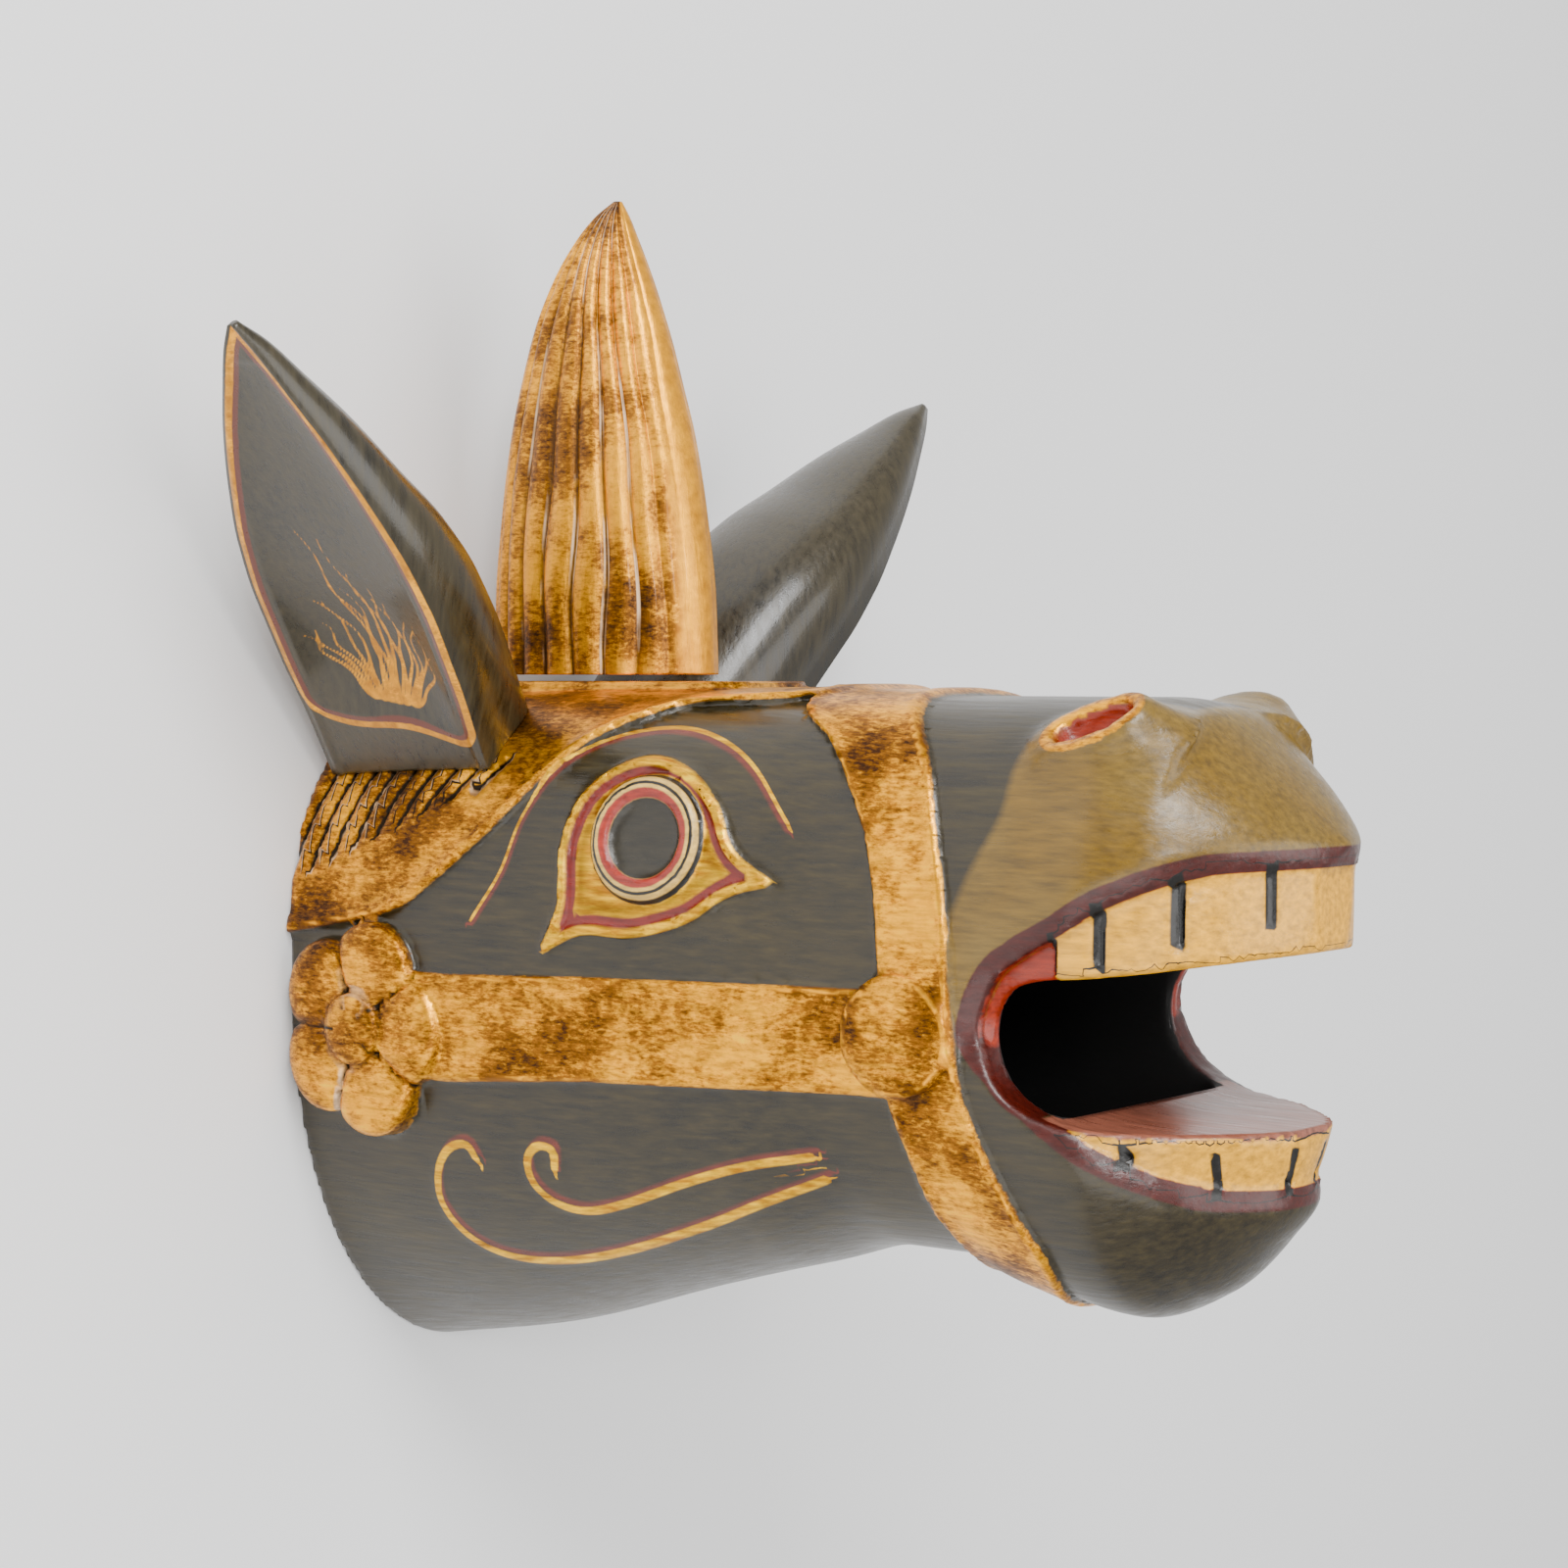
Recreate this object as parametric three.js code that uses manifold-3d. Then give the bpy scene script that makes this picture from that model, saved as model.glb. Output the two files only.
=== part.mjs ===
// A carved and painted wooden horse mask: a hollow head with an open mouth, two ears and a fluted forelock,
// each carved on its own and set on the head. Units are millimetres.
//
// The head is worked out in its own frame: x runs from the flat back rim (x = 0) to the nose, y to the horse's
// left, z up from the lowest point of the rim. The finished mask lies on its back rim, with the nose up.
import * as THREE from 'three';
import { mergeVertices } from 'three/addons/utils/BufferGeometryUtils.js';
import Module from 'manifold-3d';

const wasm = await Module();
wasm.setup();

// Driving sizes of the head.
const WALL = 13;                 // thickness of the hollowed head's wall
const STRAP_RELIEF = 2.2;        // how far straps and crest stand off the skin
const CHEEK_STRAP = { back: 60, front: 240, top: 143, bottom: 111, fall: 6 };
const CAVITY_END = 290;          // where the hollow ends, under the teeth
const MOUTH_CORNER_X = 266;
const SEAT_GAP = 0.3;            // clearance between a set-in piece and the head

// The head's cross-sections: x, half-width, height of the widest line, top, bottom, upper and lower roundness
// (2 is an ellipse, more is squarer).
const SECTIONS = [
  [0, 82, 128, 228, 0, 2.7, 2.0],
  [60, 83, 130, 230, 12, 2.9, 2.1],
  [127, 78, 132, 230, 33, 3.4, 2.3],
  [172, 71, 134, 230, 46, 3.4, 2.4],
  [215, 63, 134, 230, 57, 3.2, 2.5],
  [240, 61, 134, 230, 57, 3.0, 2.5],
  [262, 61, 140, 230, 51, 2.9, 2.5],
  [294, 62, 150, 230, 44, 2.6, 2.3],
  [314, 57, 158, 227, 52, 2.4, 2.2],
  [331, 46, 166, 213, 68, 2.3, 2.2],
  [344, 31, 174, 200, 87, 2.2, 2.2],
  [351, 17, 180, 192, 140, 2.1, 2.2],
  [355, 3, 184, 188, 178, 2.0, 2.0],
];
const NOSE_TIP = SECTIONS.at(-1)[0];
const NOSE_ROUNDING_START = 290; // from here on an inset skin also moves back from the nose tip

// A smooth value between the sections that never overshoots them.
function sectionValue(column, x) {
  const last = SECTIONS.length - 1;
  const slope = (i) => (SECTIONS[i + 1][column] - SECTIONS[i][column]) / (SECTIONS[i + 1][0] - SECTIONS[i][0]);
  const tangent = (i) => {
    if (i === 0) return slope(0);
    if (i === last) return slope(last - 1);
    const before = slope(i - 1);
    const after = slope(i);
    if (before * after <= 0) return 0;
    const stepBefore = SECTIONS[i][0] - SECTIONS[i - 1][0];
    const stepAfter = SECTIONS[i + 1][0] - SECTIONS[i][0];
    const near = 2 * stepAfter + stepBefore;
    const far = stepAfter + 2 * stepBefore;
    return (near + far) / (near / before + far / after);
  };
  const at = Math.min(Math.max(x, SECTIONS[0][0]), SECTIONS[last][0]);
  let i = 0;
  while (i < last - 1 && at > SECTIONS[i + 1][0]) i += 1;
  const step = SECTIONS[i + 1][0] - SECTIONS[i][0];
  const t = (at - SECTIONS[i][0]) / step;
  return SECTIONS[i][column] * (1 + 2 * t) * (1 - t) ** 2 + tangent(i) * step * t * (1 - t) ** 2
    + SECTIONS[i + 1][column] * t * t * (3 - 2 * t) + tangent(i + 1) * step * t * t * (t - 1);
}

// A point of the skin at x, at an angle round the section from its top, moved out by offset.
function skinPoint(x, angle, offset) {
  const [width, middle, top, bottom, upper, lower] = [1, 2, 3, 4, 5, 6].map((column) => sectionValue(column, x));
  const rise = Math.cos(angle);
  const side = Math.sin(angle);
  const roundness = rise > 0 ? upper : lower;
  const height = rise > 0 ? top - middle : middle - bottom;
  const share = THREE.MathUtils.clamp((x - NOSE_ROUNDING_START) / (NOSE_TIP - NOSE_ROUNDING_START), 0, 1);
  return [
    x + offset * share,
    -Math.sign(side) * Math.abs(side) ** (2 / roundness) * Math.max(width + offset, 1),
    middle + Math.sign(rise) * Math.abs(rise) ** (2 / roundness) * Math.max(height + offset, 1),
  ];
}

// A closed skin through rings of points, each ring an array of [x, y, z], ends closed by a fan.
function ringsGeometry(rings) {
  const around = rings[0].length;
  const positions = rings.flat(2);
  const centre = (ring) => [0, 1, 2].map((axis) => ring.reduce((sum, p) => sum + p[axis], 0) / around);
  positions.push(...centre(rings[0]), ...centre(rings.at(-1)));
  const first = rings.length * around;
  const index = [];
  for (let r = 0; r < rings.length - 1; r += 1) {
    for (let k = 0; k < around; k += 1) {
      const next = (k + 1) % around;
      const [a, b, c, d] = [r * around + k, r * around + next, (r + 1) * around + next, (r + 1) * around + k];
      index.push(a, b, c, a, c, d);
    }
  }
  for (let k = 0; k < around; k += 1) {
    const next = (k + 1) % around;
    index.push(first, next, k);
    index.push(first + 1, (rings.length - 1) * around + k, (rings.length - 1) * around + next);
  }
  const geometry = new THREE.BufferGeometry();
  geometry.setAttribute('position', new THREE.Float32BufferAttribute(positions, 3));
  geometry.setIndex(index);
  return geometry;
}

// A solid for cutting and joining, made from a closed geometry; a geometry that is inside out is turned.
function solid(geometry) {
  const plain = geometry.clone();
  for (const name of Object.keys(plain.attributes)) {
    if (name !== 'position') plain.deleteAttribute(name);
  }
  const merged = mergeVertices(plain, 1e-4);
  const vertProperties = new Float32Array(merged.attributes.position.array);
  const triVerts = new Uint32Array(merged.index.array);
  const corner = (i) => new THREE.Vector3().fromArray(vertProperties, 3 * triVerts[i]);
  let volume = 0;
  for (let i = 0; i < triVerts.length; i += 3) volume += corner(i).dot(corner(i + 1).cross(corner(i + 2)));
  if (volume < 0) {
    for (let i = 0; i < triVerts.length; i += 3) [triVerts[i], triVerts[i + 1]] = [triVerts[i + 1], triVerts[i]];
  }
  return new wasm.Manifold(new wasm.Mesh({ numProp: 3, vertProperties, triVerts }));
}

const SIMPLIFY = 0.05;           // facets closer than this to their neighbours' plane are merged
function geometryOf(body) {
  const mesh = body.simplify(SIMPLIFY).getMesh();
  const geometry = new THREE.BufferGeometry();
  geometry.setAttribute('position', new THREE.Float32BufferAttribute(mesh.vertProperties, 3));
  geometry.setIndex([...mesh.triVerts]);
  geometry.computeVertexNormals();
  return geometry;
}

// The head's skin as a solid, from one x to another, moved out by offset. Its rings stand closer at the nose.
const RINGS_ROUND = 32;
const RING_STEP = 15;
const NOSE_RING_STEP = 7;
function skinSolid(from, to, step, offset, around = RINGS_ROUND) {
  const rings = [];
  for (let x = from; x < to - 1; x += x < NOSE_ROUNDING_START ? step : NOSE_RING_STEP) {
    rings.push(Array.from({ length: around }, (_, k) => skinPoint(x, (2 * Math.PI * k) / around, offset)));
  }
  rings.push(Array.from({ length: around }, (_, k) => skinPoint(to, (2 * Math.PI * k) / around, offset)));
  return solid(ringsGeometry(rings));
}

// An outline drawn on the side view (x, z), pushed through the whole width of the head.
const THROUGH = 240;
function sidePrism(points, curved = false, from = -THROUGH / 2, to = THROUGH / 2) {
  const corners = points.map(([x, z]) => new THREE.Vector2(x, z));
  const shape = curved
    ? new THREE.Shape(new THREE.SplineCurve([...corners, corners[0]]).getPoints(2 * corners.length).slice(0, -1))
    : new THREE.Shape(corners);
  const prism = new THREE.ExtrudeGeometry(shape, { depth: to - from, bevelEnabled: false, curveSegments: 8 });
  prism.rotateX(Math.PI / 2);
  prism.translate(0, to, 0);
  return solid(prism);
}

// An open line of points made smooth.
function smooth(points) {
  const curve = new THREE.SplineCurve(points.map(([x, z]) => new THREE.Vector2(x, z)));
  return curve.getPoints(2 * points.length).map((p) => p.toArray());
}

// A turned solid: profile points (radius, height) from the axis and back to it, its axis along +Z.
function turned(profile, segments = 28) {
  return new THREE.LatheGeometry(profile.map(([r, h]) => new THREE.Vector2(r, h)), segments).rotateX(Math.PI / 2);
}

// The same solid on the horse's right and left, made for the right side where y is negative.
function bothSides(body) {
  return body.add(body.mirror([0, 1, 0]));
}

// Places a geometry whose +Z should point out of the right side, leaning forward and up by small angles.
function onRightSide(geometry, at, forwardLean, upLean) {
  const out = new THREE.Vector3(Math.sin(forwardLean), -Math.cos(forwardLean), Math.sin(upLean)).normalize();
  const along = new THREE.Vector3(1, 0, 0).addScaledVector(out, -out.x).normalize();
  const frame = new THREE.Matrix4().makeBasis(along, new THREE.Vector3().crossVectors(out, along), out);
  return geometry.applyMatrix4(frame).translate(...at);
}

// The halter: a noseband round the snout, a cheek strap along each side, and the crest with the cut mane.
const NOSEBAND_BACK = [[186, 262], [186, 228], [206, 216], [222, 195], [229, 175], [232, 150], [234, 115],
  [240, 92], [243, 76], [247, 62], [247, 30]];
const NOSEBAND_FRONT = [[264, 30], [266, 52], [284, 60], [277, 76], [268, 96], [261, 116], [257, 148],
  [256, 165], [251, 187], [242, 210], [227, 227], [212, 233], [212, 262]];
const CREST_EDGE = [[-10, 150], [20, 154], [49, 159], [66, 168], [89, 186], [105, 202], [118, 215], [132, 222],
  [147, 226], [190, 231], [200, 262], [-10, 262]];

function halter() {
  const raised = skinSolid(0, NOSE_TIP, RING_STEP, STRAP_RELIEF);
  const cheek = sidePrism([[CHEEK_STRAP.back, CHEEK_STRAP.bottom - CHEEK_STRAP.fall],
    [CHEEK_STRAP.front, CHEEK_STRAP.bottom], [CHEEK_STRAP.front, CHEEK_STRAP.top],
    [CHEEK_STRAP.back, CHEEK_STRAP.top - CHEEK_STRAP.fall / 2]]);
  const noseband = sidePrism([...smooth(NOSEBAND_BACK), ...smooth(NOSEBAND_FRONT)]);
  return raised.intersect(noseband.add(cheek).add(sidePrism(CREST_EDGE)));
}

// The round boss where the straps cross.
const BOSS = { x: 240, y: -58, z: 130, radius: 18.5, height: 9, edge: 2 };
function boss() {
  const { radius, height, edge } = BOSS;
  const profile = [[0, -6], [radius, -6], [radius, height - edge], [radius - edge, height], [0, height + 1]];
  return onRightSide(turned(profile), [BOSS.x, BOSS.y, BOSS.z], 0.09, 0);
}

// The five-petalled flower at the back end of the cheek strap.
const FLOWER = { x: 37, y: -76, z: 120, petals: 5, petal: 18.5, reach: 18, height: 14, heart: 12, turn: 0.63 };
function flower() {
  const petal = [[0, -8], [FLOWER.petal, -8], [FLOWER.petal, FLOWER.height - 2.5],
    [FLOWER.petal - 2, FLOWER.height - 0.5], [0, FLOWER.height]];
  const heart = [[0, -8], [FLOWER.heart, -8], [FLOWER.heart, FLOWER.height + 1.5], [FLOWER.heart - 2, FLOWER.height + 2.5],
    [0, FLOWER.height + 3]];
  const place = (geometry) => solid(onRightSide(geometry, [FLOWER.x, FLOWER.y, FLOWER.z], 0, 0));
  const slitDepth = 5;
  let bloom = place(turned(heart, 14));
  for (let k = 0; k < FLOWER.petals; k += 1) {
    const angle = FLOWER.turn + Math.PI / FLOWER.petals + (2 * Math.PI * k) / FLOWER.petals;
    const shape = turned(petal, 14);
    shape.translate(FLOWER.reach * Math.cos(angle), FLOWER.reach * Math.sin(angle), 0);
    bloom = bloom.add(place(shape));
  }
  for (let k = 0; k < FLOWER.petals; k += 1) {
    const slit = new THREE.BoxGeometry(30, 1.6, slitDepth * 2);
    slit.translate(15 + FLOWER.heart + 1, 0, FLOWER.height + 0.6);
    slit.rotateZ(FLOWER.turn + (2 * Math.PI * k) / FLOWER.petals);
    bloom = bloom.subtract(place(slit));
  }
  return bloom;
}

// The eye: an almond rim, the round eyeball standing in it, and the hollowed pupil.
const EYE = { x: 150, y: -69, z: 185, ball: 20, pupil: 14, rim: 2.6, lean: 0.16, leanUp: 0.2 };
const EYE_ALMOND = [[112, 149], [121, 168], [120, 187], [127, 203], [142, 211], [160, 207], [174, 196], [183, 182],
  [195, 174], [180, 170], [166, 161], [146, 156], [130, 157]];
function eye() {
  const rim = skinSolid(105, 210, RING_STEP, EYE.rim).intersect(sidePrism(EYE_ALMOND, true, -THROUGH / 2, 0));
  const ball = turned([[0, -10], [EYE.ball, -10], [EYE.ball, 2], [EYE.ball - 2.5, 5], [EYE.pupil + 0.5, 7],
    [EYE.pupil - 2.5, 5], [0, 4]], 24);
  return rim.add(solid(onRightSide(ball, [EYE.x, EYE.y, EYE.z], EYE.lean, EYE.leanUp)));
}

// The open mouth: a gap right through, and a recess over the gums that leaves the lips standing.
const MOUTH_GAP = smooth([[420, 105], [335, 105], [296, 106], [279, 111], [270, 119], [MOUTH_CORNER_X + 0.5, 131],
  [270, 142], [280, 147.5], [310, 151], [350, 157], [420, 167]]);
const MOUTH_CORNER = [MOUTH_CORNER_X - 1, 131];
const UPPER_GUM = [[270, 147], [280, 155], [293, 162], [307, 170.5], [327, 178.5], [345, 181], [420, 184]];
const LOWER_GUM = [[420, 86], [338, 88], [322, 91], [306, 98], [293, 106], [278, 118]];
const GUM_INSET = 8;
const LIP_BEVEL = 4;
const LIP_WIDENING = 2.5;
const MUZZLE_START = 16 * RING_STEP;
const OUTSIDE = 12;              // an offset well clear of the head's skin
function mouthCut() {
  const outer = skinSolid(MUZZLE_START, NOSE_TIP, RING_STEP, OUTSIDE);
  const inset = skinSolid(MUZZLE_START, NOSE_TIP, RING_STEP, -GUM_INSET);
  const lipLine = skinSolid(MUZZLE_START, NOSE_TIP, RING_STEP, -LIP_BEVEL);
  const recess = (widening) => sidePrism(smooth([
    ...LOWER_GUM.map(([x, z]) => [x, z - widening]),
    [MOUTH_CORNER[0] - widening, MOUTH_CORNER[1]],
    ...UPPER_GUM.map(([x, z]) => [x, z + widening]),
  ]));
  const gums = recess(0).intersect(outer).subtract(inset);
  const bevel = recess(LIP_WIDENING).intersect(outer.subtract(lipLine));
  return sidePrism(MOUTH_GAP).add(gums).add(bevel);
}

// Teeth stand a little off the gums: start and end along the jaw, root height and edge height.
const UPPER_TEETH = [[281, 299, 159, 147], [300, 325, 168, 150], [326, 356, 175, 153]];
const LOWER_TEETH = [[284, 297, 99, 107], [298, 321, 94, 107], [322, 346, 93, 107]];
const TOOTH_RELIEF = 2;
function teeth() {
  const front = skinSolid(MUZZLE_START, NOSE_TIP, RING_STEP, TOOTH_RELIEF - GUM_INSET);
  let all = null;
  for (const [from, to, root, edge] of [...UPPER_TEETH, ...LOWER_TEETH]) {
    const middle = (from + to) / 2;
    const crown = sidePrism([[from + 0.6, edge], [from + 0.6, (root + edge) / 2], [middle, root],
      [to - 0.6, (root + edge) / 2], [to - 0.6, edge]]);
    all = all ? all.add(crown) : crown;
  }
  return all.intersect(front).subtract(sidePrism(MOUTH_GAP));
}

// The nostrils: a raised mound at each upper corner of the muzzle, with a bowl cut into it.
const NOSTRIL = { x: 294, y: -43, z: 223.5, length: 13.5, width: 6.6, depth: 10 };
const NOSTRIL_MOUND = [[0, -18], [17, -18], [13.5, -6], [11.5, -1], [10, -0.4], [0, -0.4]];
const NOSTRIL_STRETCH = 1.5;
function nostrilFrame(geometry) {
  const out = new THREE.Vector3(-0.22, -0.6, 0.77).normalize();
  const along = new THREE.Vector3(0.94, 0.14, 0.3);
  along.addScaledVector(out, -along.dot(out)).normalize();
  const frame = new THREE.Matrix4().makeBasis(along, new THREE.Vector3().crossVectors(out, along), out);
  return geometry.applyMatrix4(frame).translate(NOSTRIL.x, NOSTRIL.y, NOSTRIL.z);
}
function nostrilMound() {
  const mound = turned(NOSTRIL_MOUND, 20).scale(NOSTRIL_STRETCH, 1, 1);
  return solid(nostrilFrame(mound));
}
function nostrilBowl() {
  const bowl = new THREE.SphereGeometry(1, 16, 10).scale(NOSTRIL.length, NOSTRIL.width, NOSTRIL.depth);
  return solid(nostrilFrame(bowl.translate(0, 0, 1)));
}

// The plate on the crown that carries the forelock, with its mortise.
const PLATE = { from: 22, to: 145, halfWidth: 26, bottom: 222, top: 234.5, frontRadius: 16 };
const TENON = { x: 74, length: 26, width: 12, depth: 9 };
const TENON_GAP = 2.2;           // the forelock's foot stands this far off the plate
function plate() {
  const { from, to, halfWidth, frontRadius } = PLATE;
  const outline = new THREE.Shape();
  outline.moveTo(from, -halfWidth);
  outline.lineTo(to - frontRadius, -halfWidth);
  outline.absarc(to - frontRadius, -halfWidth + frontRadius, frontRadius, -Math.PI / 2, 0, false);
  outline.absarc(to - frontRadius, halfWidth - frontRadius, frontRadius, 0, Math.PI / 2, false);
  outline.lineTo(from, halfWidth);
  outline.closePath();
  const slab = new THREE.ExtrudeGeometry(outline, {
    depth: PLATE.top - PLATE.bottom - 1, bevelThickness: 1, bevelSize: 1, bevelOffset: -1, bevelSegments: 1,
    curveSegments: 6,
  });
  return solid(slab.translate(0, 0, PLATE.bottom));
}
function tenonBox(clearance) {
  const height = TENON.depth + TENON_GAP + 4;
  const box = new THREE.BoxGeometry(TENON.length + 2 * clearance, TENON.width + 2 * clearance, height + clearance);
  return box.translate(TENON.x, 0, PLATE.top - TENON.depth + (height - clearance) / 2);
}

// Carved strokes of the mane, cut as slanting grooves behind the crest's edge.
const MANE_STROKES = { count: 9, first: 12, last: 84, top: 214, drop: 44, lean: 13, depth: 1.8, width: 2.4 };
function maneStrokes() {
  const { count, first, last, top, drop, lean, width } = MANE_STROKES;
  let cuts = null;
  for (let k = 0; k < count; k += 1) {
    const share = k / (count - 1);
    const x = first + (last - first) * share;
    const length = drop * (1 - 0.65 * share);
    const slant = lean * (1 - 0.65 * share);
    const cut = sidePrism([[x, top], [x + width / 2, top - length / 3], [x - slant, top - length],
      [x - width / 2, top - length / 3]]);
    cuts = cuts ? cuts.add(cut) : cut;
  }
  const floor = skinSolid(0, 120, RING_STEP, STRAP_RELIEF - MANE_STROKES.depth);
  return cuts.intersect(skinSolid(0, 120, RING_STEP, STRAP_RELIEF + 6).subtract(floor));
}

// The hollow for the face, open at the back rim and into the mouth.
function cavity() {
  const taper = 18;
  const main = skinSolid(-2, CAVITY_END - taper, 24, -WALL, 24);
  const end = (x, extra) => Array.from({ length: 24 }, (_, k) => {
    const p = skinPoint(CAVITY_END - taper, (2 * Math.PI * k) / 24, -WALL - extra);
    return [x, p[1], p[2]];
  });
  const nose = solid(ringsGeometry([end(CAVITY_END - taper - 0.5, 0), end(CAVITY_END - taper / 2, 3),
    end(CAVITY_END, 12)]));
  const mouthOfHollow = Array.from({ length: 24 }, (_, k) => skinPoint(0, (2 * Math.PI * k) / 24, -WALL));
  const opening = solid(ringsGeometry([mouthOfHollow.map((p) => [-2, p[1], p[2]]), mouthOfHollow]));
  return main.add(nose).add(opening);
}

const BEHIND_RIM = { depth: 100, width: 400, height: 500 };
function head() {
  const outside = skinSolid(0, NOSE_TIP, RING_STEP, 0)
    .add(halter())
    .add(bothSides(solid(boss())))
    .add(bothSides(flower()))
    .add(bothSides(eye()))
    .add(bothSides(nostrilMound()))
    .add(plate());
  const { depth, width, height } = BEHIND_RIM;
  const behindRim = solid(new THREE.BoxGeometry(depth, width, height).translate(-depth / 2, 0, height / 4));
  const carved = outside
    .subtract(maneStrokes())
    .subtract(mouthCut())
    .add(teeth())
    .subtract(bothSides(nostrilBowl()))
    .subtract(solid(tenonBox(SEAT_GAP)));
  return geometryOf(carved.subtract(cavity()).subtract(behindRim));
}

// The ears: leaf-shaped, with a hollowed flat face on the outward side, straight flanks and a rounded keel behind.
// Along the length from base to tip: share of the length, half-width of the face, height of the flank, full thickness.
const EAR_BASE = [43, -62, 194];
const EAR_TIP = [79, -177, 340];
const EAR_PROFILE = [[0, 37, 15, 40], [0.14, 37, 16, 42], [0.3, 38.5, 16, 42], [0.42, 38.5, 15, 40], [0.54, 36, 13, 35],
  [0.66, 30, 10, 27], [0.78, 22, 7.5, 20], [0.88, 13.5, 5, 13], [0.95, 7, 3.5, 8], [1, 1.2, 1, 2.5]];
const EAR_HOLLOW = 9;
const EAR_HOLLOW_START = 0.2;
const EAR_FACE_RIM = 0.84;
const EAR_STEPS = 10;
function earRing([share, halfWidth, flank, thickness], frame) {
  const opening = THREE.MathUtils.clamp((share - EAR_HOLLOW_START) * 14, 0, 1) * Math.min(1, halfWidth / 38);
  const ring = [];
  for (let k = 0; k <= EAR_STEPS; k += 1) {
    const u = -1 + (2 * k) / EAR_STEPS;
    const inside = Math.max(0, 1 - (u / EAR_FACE_RIM) ** 2);
    ring.push([u * halfWidth, EAR_HOLLOW * opening * Math.sqrt(inside)]);
  }
  for (let k = 0; k <= EAR_STEPS; k += 1) {
    const angle = (Math.PI * k) / EAR_STEPS;
    ring.push([Math.cos(angle) * halfWidth, flank + (thickness - flank) * Math.sin(angle)]);
  }
  return ring.map(([u, v]) => {
    const p = frame.base.clone().addScaledVector(frame.axis, share * frame.length);
    return p.addScaledVector(frame.wide, u).addScaledVector(frame.inward, v).toArray();
  });
}
function ear() {
  const base = new THREE.Vector3(...EAR_BASE);
  const axis = new THREE.Vector3(...EAR_TIP).sub(base);
  const length = axis.length();
  axis.normalize();
  const wide = new THREE.Vector3(1, 0, 0).addScaledVector(axis, -axis.x).normalize();
  const inward = new THREE.Vector3().crossVectors(axis, wide);
  if (inward.z < 0) inward.negate();
  const frame = { base, axis, length, wide, inward };
  const leaf = solid(ringsGeometry(EAR_PROFILE.map((row) => earRing(row, frame))));
  return leaf.subtract(skinSolid(0, 150, RING_STEP, STRAP_RELIEF + SEAT_GAP));
}

// The forelock: a fluted flame on a tenon. Along its height: share, centre along x, half-length, half-width.
const FORELOCK_TOP = 398;
const FORELOCK_PROFILE = [[0, 70, 46, 25], [0.15, 69.5, 45.5, 25], [0.35, 69, 42, 23.5], [0.5, 68.5, 38, 21.5],
  [0.62, 68, 33, 19], [0.74, 68, 27, 16], [0.84, 69, 20, 12.5], [0.92, 71, 12.5, 8.5], [0.97, 73.5, 6.5, 5],
  [1, 76, 1.5, 1.5]];
const FLUTES = { count: 11, depth: 2.6 };
function forelock() {
  const foot = PLATE.top + TENON_GAP;
  const around = 44;
  const rings = FORELOCK_PROFILE.map(([share, centre, halfLength, halfWidth]) => Array.from({ length: around }, (_, k) => {
    const angle = (2 * Math.PI * k) / around;
    const forward = Math.max(0, Math.cos(angle)) ** 6;
    const depth = FLUTES.depth * (1 - forward) * Math.min(1, halfLength / 25);
    const cut = depth * (1 - Math.abs(Math.sin(FLUTES.count * angle)));
    return [centre + (halfLength - cut) * Math.cos(angle), (halfWidth - cut) * Math.sin(angle),
      foot + share * (FORELOCK_TOP - foot)];
  }));
  return solid(ringsGeometry(rings)).add(solid(tenonBox(0)));
}

// Colours of the finishes, seen in the photograph.
const LACQUER = new THREE.MeshStandardMaterial({ color: 0x3b3a33, roughness: 0.35, metalness: 0 });
const GOLD_LEAF = new THREE.MeshStandardMaterial({ color: 0xb8860f, roughness: 0.35, metalness: 0.7 });

const mask = new THREE.Group();
function piece(name, geometry, material) {
  const mesh = new THREE.Mesh(geometry, material);
  mesh.name = name;
  mask.add(mesh);
}
piece('head', head(), LACQUER);
piece('ear_right', geometryOf(ear()), LACQUER);
piece('ear_left', geometryOf(ear().mirror([0, 1, 0])), LACQUER);
piece('forelock', geometryOf(forelock()), GOLD_LEAF);

// Laid down on the back rim: the nose points up, the crown towards -Y, the horse's right side towards +X.
mask.matrix.set(0, -1, 0, 0, 0, 0, -1, 0, 1, 0, 0, 0, 0, 0, 0, 1);
mask.matrix.decompose(mask.position, mask.quaternion, mask.scale);
const footprint = new THREE.Box3().setFromObject(mask).getCenter(new THREE.Vector3());
mask.position.set(-footprint.x, -footprint.y, 0);
mask.updateMatrixWorld(true);

export default mask;
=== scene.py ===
# %% [markdown]
# # A carved and painted wooden horse mask
#
# The mask is a hollow horse's head, carved from one block of light wood and finished in dark lacquer,
# gold leaf and bright enamel. Two ears and a fluted forelock are carved on their own and set on the
# crown.
#
# The mask lies on its flat back rim with the nose up. Shapes are worked out in the horse's own frame, in
# millimetres: x runs from the rim to the nose, y to the horse's left and z up from the lowest point of
# the rim. `to_row` turns that frame into the row's frame, in metres.

import math

import bpy
import numpy as np
from mathutils import Matrix, Vector


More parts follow.
